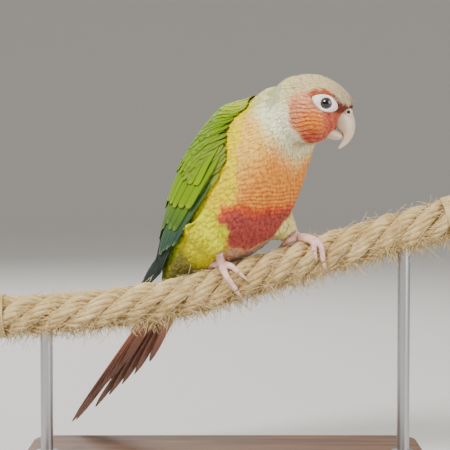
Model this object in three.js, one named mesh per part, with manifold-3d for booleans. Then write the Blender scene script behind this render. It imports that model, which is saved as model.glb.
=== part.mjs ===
// A pineapple green-cheeked conure, life size, gripping a short length of four-strand rope on a plain stand.
// Millimetres, +Z up, +X along the rope to the right of the photograph, +Y away from the camera.
// The origin is the centre of the base's underside.
import * as THREE from "three";
import { mergeVertices } from "three/addons/utils/BufferGeometryUtils.js";
import Module from "manifold-3d";

const wasm = await Module();
wasm.setup();
const { Vector3, CatmullRomCurve3 } = THREE;

// Driving dimensions
const GAP = 0.3; // clearance that touching pieces keep
const EYE_LEVEL = 122; // height of the photograph's centre above the floor
const BODY_YAW = THREE.MathUtils.degToRad(38); // how far the breast turns towards the camera
const HEAD_YAW = THREE.MathUtils.degToRad(6);
const HEAD_PITCH = THREE.MathUtils.degToRad(-4);

const ROPE_RADIUS = 9.6;
const ROPE_LAY = 54; // length of one full turn of a strand
const STRANDS = 4;
const STRAND_PLACE = 0.585; // a strand's centre, as a share of the rope's radius
const STRAND_FLATNESS = 1.06; // how much wider a strand is round the rope than across it
const STRAND_AIR = 1.1; // room between neighbouring strands, so that their straight facets stay clear
// height of the rope's centre line, from eye level, at each distance along it
const ROPE_LINE = [
  [-118, -44.4],
  [-62, -40.6],
  [-22, -34.6],
  [20, -22.4],
  [60, -9.8],
  [118, 6.2],
];

const BASE = { length: 196, depth: 112, height: 10, corner: 12, edge: 1.2 };
const ROD = { radius: 3, places: [-86, 86], sides: 16 };
const WHIPPING = { inset: 9, width: 8, thick: 1 };

const COLOURS = {
  crown: 0xc9bfa4,
  breast: 0xe0904e,
  belly: 0xc4503c,
  wing: 0x7f9e2c,
  tail: 0x7c4234,
  thigh: 0xd8cf2a,
  horn: 0xe2cdb4,
  skin: 0xdcb3a4,
  eye: 0x15151a,
  claw: 0x6a5a54,
  rope: 0xd2b583,
  wood: 0x4a3a2e,
  steel: 0xb4b6b8,
};

const group = new THREE.Group();

// Frames: the body frame gives forward, left and up from the middle of the trunk.
const up = new Vector3(0, 0, 1);
const forward = new Vector3(Math.cos(BODY_YAW), -Math.sin(BODY_YAW), 0);
const left = new Vector3().crossVectors(up, forward);
const TRUNK_CENTRE = new Vector3(5.3, 6, EYE_LEVEL + 11);
const HEAD_CENTRE = new Vector3(42.5, -23, EYE_LEVEL + 54.5);

function inBody(f, l, u) {
  return TRUNK_CENTRE.clone().addScaledVector(forward, f).addScaledVector(left, l).addScaledVector(up, u);
}

const headTurn = new THREE.Euler(0, -HEAD_PITCH, -HEAD_YAW, "ZYX");
function inHead(f, l, u) {
  return new Vector3(f, l, u).applyEuler(headTurn).add(HEAD_CENTRE);
}

// Solids

function solidOf(geometry) {
  const bare = geometry.index ? geometry.clone() : mergeVertices(geometry);
  ["normal", "uv"].forEach((name) => bare.deleteAttribute(name));
  const merged = mergeVertices(bare, 1e-4);
  const kept = [];
  const index = merged.index.array;
  for (let i = 0; i < index.length; i += 3) {
    const [a, b, c] = index.slice(i, i + 3);
    if (a !== b && b !== c && a !== c) kept.push(a, b, c);
  }
  const build = (triVerts) =>
    new wasm.Manifold(
      new wasm.Mesh({
        numProp: 3,
        vertProperties: Float32Array.from(merged.attributes.position.array),
        triVerts: Uint32Array.from(triVerts),
      }),
    );
  const made = build(kept);
  return made.volume() > 0 ? made : build(kept.reverse());
}

// A closed tube of so many sides and rows, whose surface is put in place by the function given:
// it takes the angle round the tube, the share of its length, and 0 at a cap's middle or 1 at the wall.
function tube(sides, rows, place) {
  const geometry = new THREE.CylinderGeometry(1, 1, 1, sides, rows);
  const at = geometry.attributes.position;
  for (let i = 0; i < at.count; i++) {
    const reach = Math.hypot(at.getX(i), at.getZ(i));
    const turn = Math.round((Math.atan2(at.getX(i), at.getZ(i)) / (2 * Math.PI)) * sides + sides) % sides;
    const share = Math.round((at.getY(i) + 0.5) * rows) / rows;
    const p = place((turn / sides) * 2 * Math.PI, share, reach > 0.5 ? 1 : 0);
    at.setXYZ(i, p.x, p.y, p.z);
  }
  return solidOf(geometry);
}

// A thin plate, such as a feather's vane: its two faces are split into triangles alike, with a rim between.
// The function given takes the place across from -1 to 1, the share of the length, and 1 or 0 for its face.
function plate(columns, rows, place) {
  const plane = new THREE.PlaneGeometry(2, 1, columns, rows);
  const at = plane.attributes.position;
  const count = at.count;
  const points = [];
  for (const face of [1, 0])
    for (let i = 0; i < count; i++) points.push(...place(at.getX(i), at.getY(i) + 0.5, face));
  const triangles = [];
  const edges = new Map();
  for (let i = 0; i < plane.index.count; i += 3) {
    const [a, b, c] = plane.index.array.slice(i, i + 3);
    triangles.push(a, b, c, c + count, b + count, a + count);
    [[a, b], [b, c], [c, a]].forEach((edge) => edges.set(edge.join(), edge));
  }
  for (const [a, b] of edges.values())
    if (!edges.has([b, a].join())) triangles.push(b, a, a + count, b, a + count, b + count);
  const geometry = new THREE.BufferGeometry();
  geometry.setAttribute("position", new THREE.BufferAttribute(Float32Array.from(points), 3));
  geometry.setIndex(triangles);
  return solidOf(geometry);
}

function join(...solids) {
  return solids.flat().reduce((whole, piece) => whole.add(piece));
}

function largest(solid) {
  return solid.decompose().reduce((a, b) => (a.volume() > b.volume() ? a : b));
}

function cut(solid, ...tools) {
  return largest(tools.flat().reduce((rest, tool) => rest.subtract(tool), solid));
}

// A box that reaches far along one direction from a plane: the side of space that a cut keeps or removes.
function beyond(point, direction) {
  const size = 400;
  const geometry = new THREE.BoxGeometry(size, size, size).translate(0, 0, size / 2);
  const turn = new THREE.Quaternion().setFromUnitVectors(up, direction.clone().normalize());
  geometry.applyQuaternion(turn).translate(point.x, point.y, point.z);
  return solidOf(geometry);
}

function add(name, solid, colour, roughness = 0.8, metalness = 0) {
  const mesh = solid.getMesh();
  const points = new Float32Array(mesh.numVert * 3);
  for (let i = 0; i < mesh.numVert; i++)
    points.set(mesh.vertProperties.subarray(i * mesh.numProp, i * mesh.numProp + 3), i * 3);
  const geometry = new THREE.BufferGeometry();
  geometry.setAttribute("position", new THREE.BufferAttribute(points, 3));
  geometry.setIndex(new THREE.BufferAttribute(new Uint32Array(mesh.triVerts), 1));
  geometry.computeVertexNormals();
  const material = new THREE.MeshStandardMaterial({ color: colour, roughness, metalness });
  const part = new THREE.Mesh(geometry, material);
  part.name = name;
  group.add(part);
}

// Rope

const ropeCurve = new CatmullRomCurve3(ROPE_LINE.map(([x, z]) => new Vector3(x, 0, z + EYE_LEVEL)));
const ROPE_LENGTH = ropeCurve.getLength();

// The rope's own frame at a distance along it: out is up across the rope, front is towards the camera.
function ropeFrame(share) {
  const middle = ropeCurve.getPointAt(share);
  const along = ropeCurve.getTangentAt(share);
  const front = new Vector3(0, -1, 0);
  const out = new Vector3().crossVectors(front, along);
  return { middle, along, front, out };
}

function ropeShareAtX(x) {
  let low = 0;
  let high = 1;
  for (let i = 0; i < 30; i++) {
    const middle = (low + high) / 2;
    if (ropeCurve.getPointAt(middle).x < x) low = middle;
    else high = middle;
  }
  return low;
}

// A point by the rope: x along it, angle from its top towards the camera, and distance from its centre line.
function byRope(x, degrees, distance) {
  const { middle, front, out } = ropeFrame(ropeShareAtX(x));
  const a = THREE.MathUtils.degToRad(degrees);
  return middle
    .clone()
    .addScaledVector(out, distance * Math.cos(a))
    .addScaledVector(front, distance * Math.sin(a));
}

// One strand: a rounded wedge of the rope's section, turned evenly along its length.
function strand(number, grow = 0) {
  const centre = ROPE_RADIUS * STRAND_PLACE;
  const radius = ROPE_RADIUS - centre + grow;
  const wedge = STRAND_AIR / 2 - grow;
  const start = (number / STRANDS) * 2 * Math.PI;
  return tube(8, 36, (angle, share, wall) => {
    const { middle, front, out } = ropeFrame(share);
    const r = centre + wall * radius * Math.cos(angle);
    const limit = Math.max(r - wedge * Math.SQRT2, 0.05);
    const t = THREE.MathUtils.clamp(wall * radius * STRAND_FLATNESS * Math.sin(angle), -limit, limit);
    const turn = start - (share * ROPE_LENGTH * 2 * Math.PI) / ROPE_LAY;
    const x = r * Math.cos(turn) - t * Math.sin(turn);
    const y = r * Math.sin(turn) + t * Math.cos(turn);
    return middle.clone().addScaledVector(out, x).addScaledVector(front, y);
  });
}

// The room that the rope takes, a round tube with some air round it.
function ropeRoom(grow) {
  return tube(24, 24, (angle, share, wall) => {
    const { middle, front, out } = ropeFrame(share);
    const r = wall * (ROPE_RADIUS + grow);
    return middle
      .clone()
      .addScaledVector(out, r * Math.cos(angle))
      .addScaledVector(front, r * Math.sin(angle));
  });
}

function whipping(share) {
  const half = WHIPPING.width / 2;
  const inner = ROPE_RADIUS + GAP;
  const outer = inner + WHIPPING.thick;
  const profile = [
    [inner, -half],
    [outer - 0.3, -half],
    [outer, -half + 0.5],
    [outer, half - 0.5],
    [outer - 0.3, half],
    [inner, half],
    [inner, -half],
  ].map(([r, y]) => new THREE.Vector2(r, y));
  const geometry = new THREE.LatheGeometry(profile, 22);
  const { middle, along } = ropeFrame(share);
  geometry.applyQuaternion(new THREE.Quaternion().setFromUnitVectors(new Vector3(0, 1, 0), along));
  geometry.translate(middle.x, middle.y, middle.z);
  return solidOf(geometry);
}

// Body

// Trunk and neck: forward and up place of each section, then its half width, back radius and belly radius.
const TRUNK = [
  { f: -40, u: -43, w: 8, back: 6, belly: 6.5 },
  { f: -32, u: -34, w: 14.5, back: 11.5, belly: 11.5 },
  { f: -22, u: -23.5, w: 20.5, back: 18, belly: 17 },
  { f: -11, u: -12, w: 25, back: 24.5, belly: 22.5 },
  { f: 0, u: 0, w: 27, back: 29, belly: 25.5 },
  { f: 11, u: 12, w: 27, back: 30.5, belly: 23.5 },
  { f: 21, u: 23, w: 25, back: 29.5, belly: 18 },
  { f: 30, u: 32, w: 21.5, back: 25.5, belly: 12.5 },
  { f: 38, u: 39, w: 17.5, back: 20, belly: 9.5 },
  { f: 44, u: 44, w: 12, back: 14, belly: 7 },
];
const trunkLine = new CatmullRomCurve3(TRUNK.map((s) => new Vector3(s.f, s.u, 0)));
const trunkSize = new CatmullRomCurve3(TRUNK.map((s) => new Vector3(s.w, s.back, s.belly)));

// A section of the trunk: its middle, its size and its back and side directions.
function trunkSection(share) {
  const at = trunkLine.getPoint(share);
  const size = trunkSize.getPoint(share);
  const along = trunkLine.getTangent(share);
  const line = forward.clone().multiplyScalar(along.x).addScaledVector(up, along.y).normalize();
  const back = new Vector3().crossVectors(line, left).normalize();
  return { middle: inBody(at.x, 0, at.y), line, back, size };
}

// A point on the trunk: angle 0 is the middle of the back, and 90 degrees is the left side.
function onTrunk(angle, share, rise) {
  const { middle, back, size } = trunkSection(share);
  const depth = Math.cos(angle) >= 0 ? size.y : size.z;
  return middle
    .addScaledVector(left, (size.x + rise) * Math.sin(angle))
    .addScaledVector(back, (depth + rise) * Math.cos(angle));
}

function trunk(grow = 0) {
  return tube(26, 20, (angle, share, wall) =>
    wall ? onTrunk(angle, share, grow) : trunkSection(share).middle,
  );
}

// Head sections along the skull: distance forward, height of the top, depth of the bottom, half width.
const SKULL = [
  { f: -19, top: 9, low: -11, w: 9 },
  { f: -14, top: 14.2, low: -15, w: 12.6 },
  { f: -8, top: 17, low: -16.5, w: 14.6 },
  { f: -2, top: 17.2, low: -16.6, w: 15.2 },
  { f: 4, top: 15.8, low: -14.6, w: 14 },
  { f: 9, top: 13.4, low: -10.8, w: 11 },
  { f: 11.5, top: 11.6, low: -5.8, w: 9.2 },
  { f: 14, top: 9.4, low: -1.4, w: 7 },
  { f: 16.4, top: 6.4, low: 0.6, w: 4.8 },
  { f: 17.2, top: 4.6, low: 2, w: 2.6 },
];
const skullLine = new CatmullRomCurve3(SKULL.map((s) => new Vector3(s.f, (s.top + s.low) / 2, 0)));
const skullSize = new CatmullRomCurve3(SKULL.map((s) => new Vector3(s.w, (s.top - s.low) / 2, 0)));

function skull(grow = 0) {
  return tube(22, 14, (angle, share, wall) => {
    const at = skullLine.getPoint(share);
    const size = skullSize.getPoint(share);
    const l = wall * (size.x + grow) * Math.sin(angle);
    const u = at.y + wall * (size.y + grow) * Math.cos(angle);
    return inHead(at.x, l, u);
  });
}

// Eyes
const EYE = { f: 4.7, u: 3.1, radius: 3.3, side: 11.7 };
// Bare skin round the eye: its reach from the eye's middle, and how far it tilts down towards the bill
const RING = { inner: 2.5, front: 5.6, rear: 6.9, rise: 4.1, side: 14.1, thick: 0.78 };
const RING_TILT = THREE.MathUtils.degToRad(20);
const RING_SECTION = 0.3; // radius of the torus that becomes the ring, as a share of its own size

function eyeCentre(side) {
  return inHead(EYE.f, side * EYE.side, EYE.u);
}

function eyeBall(side, grow = 0) {
  const c = eyeCentre(side);
  return solidOf(new THREE.SphereGeometry(EYE.radius + grow, 12, 9).translate(c.x, c.y, c.z));
}

// The bare ring and its lids: round inside and almond-shaped outside. It leans back with the skull's side.
function eyeRing(side) {
  const geometry = new THREE.TorusGeometry(1, RING_SECTION, 6, 16);
  const at = geometry.attributes.position;
  for (let i = 0; i < at.count; i++) {
    const reach = Math.hypot(at.getX(i), at.getY(i));
    const x = at.getX(i) / reach;
    const y = at.getY(i) / reach;
    const outwards = (reach - 1 + RING_SECTION) / (2 * RING_SECTION);
    const long = THREE.MathUtils.lerp(RING.inner, x > 0 ? RING.front : RING.rear, outwards) * x;
    const narrowing = 1 - outwards * (x > 0 ? 0.2 : 0.38) * x * x;
    const high = THREE.MathUtils.lerp(RING.inner, RING.rise, outwards) * y * narrowing;
    const f = long * Math.cos(RING_TILT) + high * Math.sin(RING_TILT);
    const u = high * Math.cos(RING_TILT) - long * Math.sin(RING_TILT);
    const raised = (at.getZ(i) / RING_SECTION) * RING.thick;
    const lean = 0.14 * f + 0.02 * f * f + 0.05 * Math.max(f, 0) * f + 0.03 * u * u;
    const p = inHead(EYE.f + f, side * (RING.side + raised - lean), EYE.u + u);
    at.setXYZ(i, p.x, p.y, p.z);
  }
  return solidOf(geometry);
}

// Cere and nostrils: a low swelling over the upper bill's root with a pit on each side
const NOSTRIL = { f: 15.2, l: 3.7, u: -0.5, radius: 0.75, cere: 2.5 };

function cere(side, grow = 0) {
  const c = inHead(NOSTRIL.f - 1, side * (NOSTRIL.l - 1.7), NOSTRIL.u - 0.1);
  return solidOf(new THREE.SphereGeometry(NOSTRIL.cere + grow, 10, 7).translate(c.x, c.y, c.z));
}

function nostril(side) {
  const c = inHead(NOSTRIL.f + 0.2, side * (NOSTRIL.l + 0.4), NOSTRIL.u);
  return solidOf(new THREE.SphereGeometry(NOSTRIL.radius, 6, 4).translate(c.x, c.y, c.z));
}

// Bill: outlines in the head's side view, from the base to the tip, with half widths.
const UPPER_BILL = [
  { top: [11, 3.2], low: [8.8, -6], w: 5.6 },
  { top: [15.2, 1.4], low: [9.8, -7.4], w: 5.4 },
  { top: [17.6, -2.4], low: [11.2, -8.6], w: 4.7 },
  { top: [18.3, -6.6], low: [12.6, -9.8], w: 3.8 },
  { top: [17.6, -10.8], low: [12.9, -11.4], w: 2.6 },
  { top: [15.2, -14.6], low: [12.6, -13.4], w: 1.4 },
  { top: [11.6, -17.4], low: [11, -16.9], w: 0.35 },
];
const LOWER_BILL = [
  { top: [5.5, -7], low: [5, -12], w: 4.6 },
  { top: [8.2, -7.8], low: [7.6, -12.8], w: 4.4 },
  { top: [10.8, -8.8], low: [10.4, -13], w: 3.6 },
  { top: [13, -10.6], low: [13, -12.2], w: 1.8 },
];

function bill(outline, sides, rows, grow = 0) {
  const tops = new CatmullRomCurve3(outline.map((s) => new Vector3(...s.top, 0)));
  const lows = new CatmullRomCurve3(outline.map((s) => new Vector3(...s.low, 0)));
  const widths = new CatmullRomCurve3(outline.map((s) => new Vector3(s.w, 0, 0)));
  return tube(sides, rows, (angle, share, wall) => {
    const top = tops.getPoint(share);
    const low = lows.getPoint(share);
    const w = widths.getPoint(share).x + grow;
    const middle = top.clone().add(low).multiplyScalar(0.5);
    const across = top.clone().sub(low);
    const half = across.length() / 2 + grow;
    across.normalize();
    const c = wall * half * Math.cos(angle);
    const l = wall * w * Math.sin(angle);
    return inHead(middle.x + across.x * c, l, middle.y + across.y * c);
  });
}

// Wings: a plain blade that lies along the trunk's side, and tiers of feathers that grow from it
// Each edge is a row of places: share along the trunk, below 0 past the rump, and degrees from the back.
const WING_BACK = [
  [0.06, 24],
  [0.2, 9],
  [0.45, 7],
  [0.66, 12],
  [0.8, 26],
];
const WING_FRONT = [
  [0.06, 60],
  [0.2, 76],
  [0.45, 86],
  [0.66, 62],
  [0.8, 40],
];
const WING = { air: 0.8, thick: 2.8, root: 1.7 };

// Tiers of wing feathers, from the innermost out. The first feather of each is nearest the wing's front edge
// and the last nearest the back. Places are share and degrees, rise is the height of a feather's lower face,
// and bend tells how late a feather turns in towards the back.
const PRIMARIES = { count: 6, width: 7.2, rise: [1.7, 2.5], bend: 2, rows: 5 };
const PRIMARY_COVERTS = { count: 2, width: 6.4, rise: [2.4, 2.6], bend: 1, rows: 3 };
const SECONDARIES = { count: 6, width: 9.6, rise: [2.8, 3.1], bend: 1, rows: 3 };
const GREATER_COVERTS = { count: 6, width: 10.4, rise: [3.5, 3.8], bend: 1, rows: 3 };
const MEDIAN_COVERTS = { count: 5, width: 10.6, rise: [4.1, 4.3], bend: 1, rows: 3 };
const TIERS = [
  { ...PRIMARIES, root: [[0.46, 82], [0.36, 52]], tip: [[-0.17, 46], [0.04, 26]] },
  { ...PRIMARY_COVERTS, root: [[0.52, 84], [0.44, 70]], tip: [[0.25, 86], [0.16, 72]] },
  { ...SECONDARIES, root: [[0.54, 78], [0.4, 14]], tip: [[0.31, 80], [0.07, 18]] },
  { ...GREATER_COVERTS, root: [[0.62, 72], [0.54, 14]], tip: [[0.43, 82], [0.24, 12]] },
  { ...MEDIAN_COVERTS, root: [[0.74, 52], [0.68, 18]], tip: [[0.57, 70], [0.45, 14]] },
];
const VANE = { thick: 0.75, tilt: 0.6, sunk: 2.4 };

// Rows of a vane are closer together towards its tip, which is rounded.
function rowShare(row, rows) {
  return 1 - Math.pow(1 - row / rows, 1.5);
}

function vaneWidth(along, root) {
  return Math.min(root + 2 * along, 1) * (1 - 0.78 * Math.pow(along, 7));
}

// A seeded draw from 0 to 1, so that feathers vary and come out the same each time.
let seed = 7;
function draw() {
  seed = (seed * 16807) % 2147483647;
  return seed / 2147483647;
}

// The surface that wings lie on: the trunk, kept wide over the rump and run on past it as a narrowing cone.
const RUMP = { width: 13, back: 11, narrowing: 12 };

function guideSize(share) {
  const { size } = trunkSection(Math.max(share, 0));
  const past = Math.min(share, 0) * RUMP.narrowing;
  return { w: Math.max(size.x, RUMP.width + past), back: Math.max(size.y, RUMP.back + past) };
}

function onGuide(angle, share, rise) {
  const { middle, line, back } = trunkSection(Math.max(share, 0));
  const { w, back: depth } = guideSize(share);
  return middle
    .addScaledVector(line, Math.min(share, 0) * trunkLine.getLength())
    .addScaledVector(left, (w + rise) * Math.sin(angle))
    .addScaledVector(back, (depth + rise) * Math.cos(angle));
}

const wingBack = new CatmullRomCurve3(WING_BACK.map(([share, degrees]) => new Vector3(share, degrees, 0)));
const wingFront = new CatmullRomCurve3(WING_FRONT.map(([share, degrees]) => new Vector3(share, degrees, 0)));

function blade(side) {
  return tube(12, 10, (angle, share, wall) => {
    const at = wingBack.getPoint(share).lerp(wingFront.getPoint(share), 0.5 + 0.5 * wall * Math.cos(angle));
    const swell = WING.thick * Math.pow(Math.sin(Math.PI * (0.08 + 0.84 * share)), 0.5);
    const rise = WING.air + swell * (0.5 + 0.5 * wall * Math.sin(angle));
    return onGuide(side * THREE.MathUtils.degToRad(at.y), at.x, rise);
  });
}

// One feather of a tier. Its front edge lies a little lower than its back edge, which covers the next one.
function wingFeather(side, tier, number) {
  const place = number / (tier.count - 1);
  const at = (ends) => ends[0].map((value, i) => THREE.MathUtils.lerp(value, ends[1][i], place));
  const [rootShare, rootDegrees] = at(tier.root);
  const [tipShare, tipDegrees] = at(tier.tip);
  const reach = (draw() - 0.5) * 0.02;
  const turn = (draw() - 0.5) * 2;
  const low = THREE.MathUtils.lerp(...tier.rise, place);
  return plate(1, tier.rows, (across, row, face) => {
    const along = rowShare(Math.round(row * tier.rows), tier.rows);
    const share = THREE.MathUtils.lerp(rootShare, tipShare + reach, along);
    const degrees = THREE.MathUtils.lerp(rootDegrees, tipDegrees + turn, Math.pow(along, tier.bend));
    const { w, back } = guideSize(share);
    const half = (tier.width / 2) * vaneWidth(along, 0.7);
    const offset = THREE.MathUtils.radToDeg((across * half) / ((w + back) / 2 + low));
    const rise = low + face * VANE.thick - across * VANE.tilt - VANE.sunk * Math.pow(1 - along, 2);
    return onGuide(side * THREE.MathUtils.degToRad(degrees + offset), share, Math.max(rise, WING.root));
  });
}

function wing(side) {
  const feathers = TIERS.flatMap((tier) =>
    Array.from({ length: tier.count }, (_, number) => wingFeather(side, tier, number)),
  );
  return join(blade(side), feathers);
}

// Tail: six pairs of long feathers under each other, the middle pair on top and longest. It is roof shaped:
// the outer feathers hang below the ridge.
const TAIL = { width: 13, drop: 7, root: [-36.5, 0, -36], tip: [-109, 0, -118] };
const TAIL_LENGTHS = [1, 0.93, 0.83, 0.72, 0.6, 0.48];
const TAIL_VANE = { width: 7, thick: 0.6, step: 0.95, spread: 1.05, rows: 5 };
// The fleshy root between the feathers' bases: it swells to its full width and tapers off behind
const TAIL_CORE = { length: 0.3, width: 8.5, thick: 4, root: 0.55, taper: 0.35, sunk: 1.8 };
const tailRoot = inBody(...TAIL.root);
const tailTip = inBody(...TAIL.tip);
const tailLine = tailTip.clone().sub(tailRoot).normalize();
const tailBack = new Vector3().crossVectors(left, tailLine).normalize();

// A point by the tail: share of its length, distance to the left of its ridge, and height above its roof.
function byTail(share, l, rise) {
  const side = Math.abs(l) / TAIL.width;
  const drop = TAIL.drop * Math.pow(side, 1.5);
  return tailRoot
    .clone()
    .lerp(tailTip, share)
    .addScaledVector(left, l)
    .addScaledVector(tailBack, rise - drop);
}

function tailFeather(side, pair) {
  const length = TAIL_LENGTHS[pair] + (draw() - 0.5) * 0.02;
  const level = pair === 0 ? (side > 0 ? 0 : 1) : pair + 1;
  const inner = pair === 0 ? -1.4 : 0.3;
  return plate(1, TAIL_VANE.rows, (across, row, face) => {
    const along = rowShare(Math.round(row * TAIL_VANE.rows), TAIL_VANE.rows);
    const half = (TAIL_VANE.width / 2) * vaneWidth(along, 0.45);
    const middle = TAIL_VANE.width / 2 + inner + pair * (0.3 + TAIL_VANE.spread * along);
    const rise = (face - 0.5) * TAIL_VANE.thick - level * TAIL_VANE.step * (0.45 + 0.55 * along);
    return byTail(along * length, side * (middle + across * half), rise);
  });
}

function tailCore() {
  return tube(12, 4, (angle, share, wall) => {
    const swell = Math.sin(Math.min(share * 1.6, 1) * Math.PI * 0.5);
    const spread = THREE.MathUtils.lerp(TAIL_CORE.root, 1, swell) - TAIL_CORE.taper * share * share;
    const l = wall * TAIL_CORE.width * spread * Math.sin(angle);
    const thick = TAIL_CORE.thick * (1 - 0.75 * share);
    return byTail(share * TAIL_CORE.length, l, wall * thick * Math.cos(angle) - TAIL_CORE.sunk);
  });
}

function tail() {
  const feathers = [1, -1].flatMap((side) => TAIL_LENGTHS.map((_, pair) => tailFeather(side, pair)));
  return join(tailCore(), feathers);
}

// Legs

// A round limb through points, each with its own radius.
function limb(points, sides, rows, grow = 0) {
  const line = new CatmullRomCurve3(points.map((p) => p.at));
  const thick = new CatmullRomCurve3(points.map((p) => new Vector3(p.r, 0, 0)));
  const { normals, binormals } = line.computeFrenetFrames(rows);
  return tube(sides, rows, (angle, share, wall) => {
    const row = Math.round(share * rows);
    const r = wall * (thick.getPoint(share).x + grow);
    return line
      .getPointAt(share)
      .addScaledVector(normals[row], r * Math.cos(angle))
      .addScaledVector(binormals[row], r * Math.sin(angle));
  });
}

// Each foot: where it stands along the rope, its ankle and hip, and its four toes, each given by its x and
// its angle round the rope at the root, the middle and the tip.
const FEET = {
  right: {
    stand: { x: 1.2, angle: 26 },
    ankle: inBody(2.2, -16.4, -23.5),
    hip: inBody(-6, -18.5, -8),
    toes: [
      { root: [1.2, 34], middle: [2.2, 70], tip: [4.4, 110] },
      { root: [2.2, 28], middle: [5.4, 43], tip: [8, 68] },
      { root: [-0.2, 16], middle: [-3.4, -16], tip: [-6.5, -60] },
      { root: [1, 14], middle: [1, -30], tip: [1, -78] },
    ],
  },
  left: {
    stand: { x: 38.6, angle: -1 },
    ankle: inBody(22.5, 14, -16),
    hip: inBody(4, 16, -3),
    toes: [
      { root: [40.5, 8], middle: [46.6, 56], tip: [45.8, 108] },
      { root: [40, 10], middle: [44, 48], tip: [43.4, 74] },
      { root: [37.4, 2], middle: [33.5, -6], tip: [29.5, -40] },
      { root: [38.4, -4], middle: [38, -40], tip: [37.5, -86] },
    ],
  },
};
const FOOT = { lift: 2.1, ball: 2.5, ankle: 2, shank: 1.8, heel: 2.3 };
// Toe sections from the root to the tip: height over the rope, radius, and how far it is drawn to the heel
const TOE = [
  { lift: 1.5, r: 1.75, drawn: 0.4 },
  { lift: 1.2, r: 1.5, drawn: 0 },
  { lift: 1, r: 1.15, drawn: 0 },
];
const THIGH = { hip: 12, middle: 9.8, ankle: 4.6 };
// Claw sections: degrees round the rope past the toe's tip, height over the rope, and radius
const CLAW = [
  { turned: 2, lift: 1.4, r: 0.95 },
  { turned: 14, lift: 2, r: 0.75 },
  { turned: 28, lift: 0.9, r: 0.28 },
];

function foot(f, grow = 0) {
  const stand = byRope(f.stand.x, f.stand.angle, ROPE_RADIUS + FOOT.lift);
  const shank = limb(
    [
      { at: f.ankle, r: FOOT.ankle },
      { at: f.ankle.clone().lerp(stand, 0.5), r: FOOT.shank },
      { at: stand, r: FOOT.heel },
    ],
    10,
    4,
    grow,
  );
  const toes = f.toes.map((t) =>
    limb(
      [t.root, t.middle, t.tip].map(([x, a], i) => ({
        at: byRope(x, a, ROPE_RADIUS + TOE[i].lift).lerp(stand, TOE[i].drawn),
        r: TOE[i].r,
      })),
      7,
      6,
      grow,
    ),
  );
  const sphere = new THREE.SphereGeometry(FOOT.ball + grow, 8, 5);
  const ball = solidOf(sphere.translate(stand.x, stand.y, stand.z));
  return join(shank, ball, toes);
}

function thigh(f, grow = 0) {
  const middle = f.hip.clone().lerp(f.ankle, 0.5);
  return limb(
    [
      { at: f.hip, r: THIGH.hip },
      { at: middle, r: THIGH.middle },
      { at: f.ankle.clone().lerp(f.hip, -0.05), r: THIGH.ankle },
    ],
    16,
    7,
    grow,
  );
}

// A claw runs on from its toe's tip, arching over the rope down to a point.
function claw(t) {
  const turn = Math.sign(t.tip[1]);
  const slant = (t.tip[0] - t.middle[0]) / Math.abs(t.tip[1] - t.middle[1]);
  const points = CLAW.map(({ turned, lift, r }) => ({
    at: byRope(t.tip[0] + slant * turned, t.tip[1] + turn * turned, ROPE_RADIUS + lift),
    r,
  }));
  return limb(points, 6, 5);
}

// Build

// The head ends at a cut behind the cheek, the neck at one across the shoulders.
const HEAD_END = -9;
const HEAD_SLANT = 0.55;
const NECK_END = 0.76; // share along the trunk

const strands = [0, 1, 2, 3].map((n) => strand(n));
const ropeAir = ropeRoom(GAP);
const strandAir = [0, 1, 2, 3].map((n) => strand(n, GAP));
strands.forEach((s, n) => add(`perch_rope_strand_${n + 1}`, s, COLOURS.rope, 0.95));
const endShare = WHIPPING.inset / ROPE_LENGTH;
add("perch_whipping_left", whipping(endShare), COLOURS.rope, 0.9);
add("perch_whipping_right", whipping(1 - endShare), COLOURS.rope, 0.9);

const eyes = { left: 1, right: -1 };
const body = join(trunk(), skull(), [1, -1].map(eyeRing));
const neckCut = trunkSection(NECK_END);
const headCut = inHead(HEAD_END, 0, 0);
const headBack = inHead(-1, 0, -HEAD_SLANT).sub(inHead(0, 0, 0)).normalize();

const thighSolids = {};
const thighAir = {};
for (const side of ["left", "right"]) {
  thighAir[side] = thigh(FEET[side], GAP);
  thighSolids[side] = thigh(FEET[side]);
}

const eyeAir = Object.values(eyes).map((s) => eyeBall(s, GAP));
const headSide = beyond(headCut, headBack.clone().negate());
const downTrunk = neckCut.line.clone().negate();
const neckLow = beyond(neckCut.middle, downTrunk);
const upperAir = bill(UPPER_BILL, 12, 10, GAP);
const lowerAir = bill(LOWER_BILL, 10, 6, GAP);
const ceres = [1, -1].map((side) => cere(side));
const cereAir = [1, -1].map((side) => cere(side, GAP));
const pits = [1, -1].map(nostril);
const upperBill = cut(join(bill(UPPER_BILL, 12, 10), ceres), lowerAir, pits);
const head = cut(body.intersect(headSide), upperAir, cereAir, lowerAir, eyeAir);
const headGap = beyond(headCut.clone().addScaledVector(headBack, GAP), headBack.clone().negate());
const neckGap = beyond(neckCut.middle.clone().addScaledVector(downTrunk, -GAP), downTrunk);
const neck = cut(body, headGap, neckGap);
const torso = cut(body.intersect(neckLow), headSide, ropeAir);

add("head", head, COLOURS.crown);
add("neck", neck, COLOURS.crown);
add("torso", torso, COLOURS.breast);
add("bill_upper", upperBill, COLOURS.horn, 0.45);
add("bill_lower", largest(bill(LOWER_BILL, 10, 6)), COLOURS.horn, 0.45);
for (const [side, s] of Object.entries(eyes)) add(`eye_${side}`, eyeBall(s), COLOURS.eye, 0.15);

const trunkAir = trunk(GAP);
const skullAir = skull(GAP);
for (const [side, s] of Object.entries(eyes)) {
  const leg = cut(thighSolids[side], trunkAir, ropeAir);
  add(`thigh_${side}`, leg, COLOURS.thigh);
  const grip = cut(foot(FEET[side]), trunkAir, thighAir[side], ropeAir);
  add(`foot_${side}`, grip, COLOURS.skin, 0.6);
  const footAir = foot(FEET[side], GAP);
  FEET[side].toes.forEach((t, n) => {
    add(`claw_${side}_${n + 1}`, cut(claw(t), footAir, ropeAir, trunkAir), COLOURS.claw, 0.4);
  });
}

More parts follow.
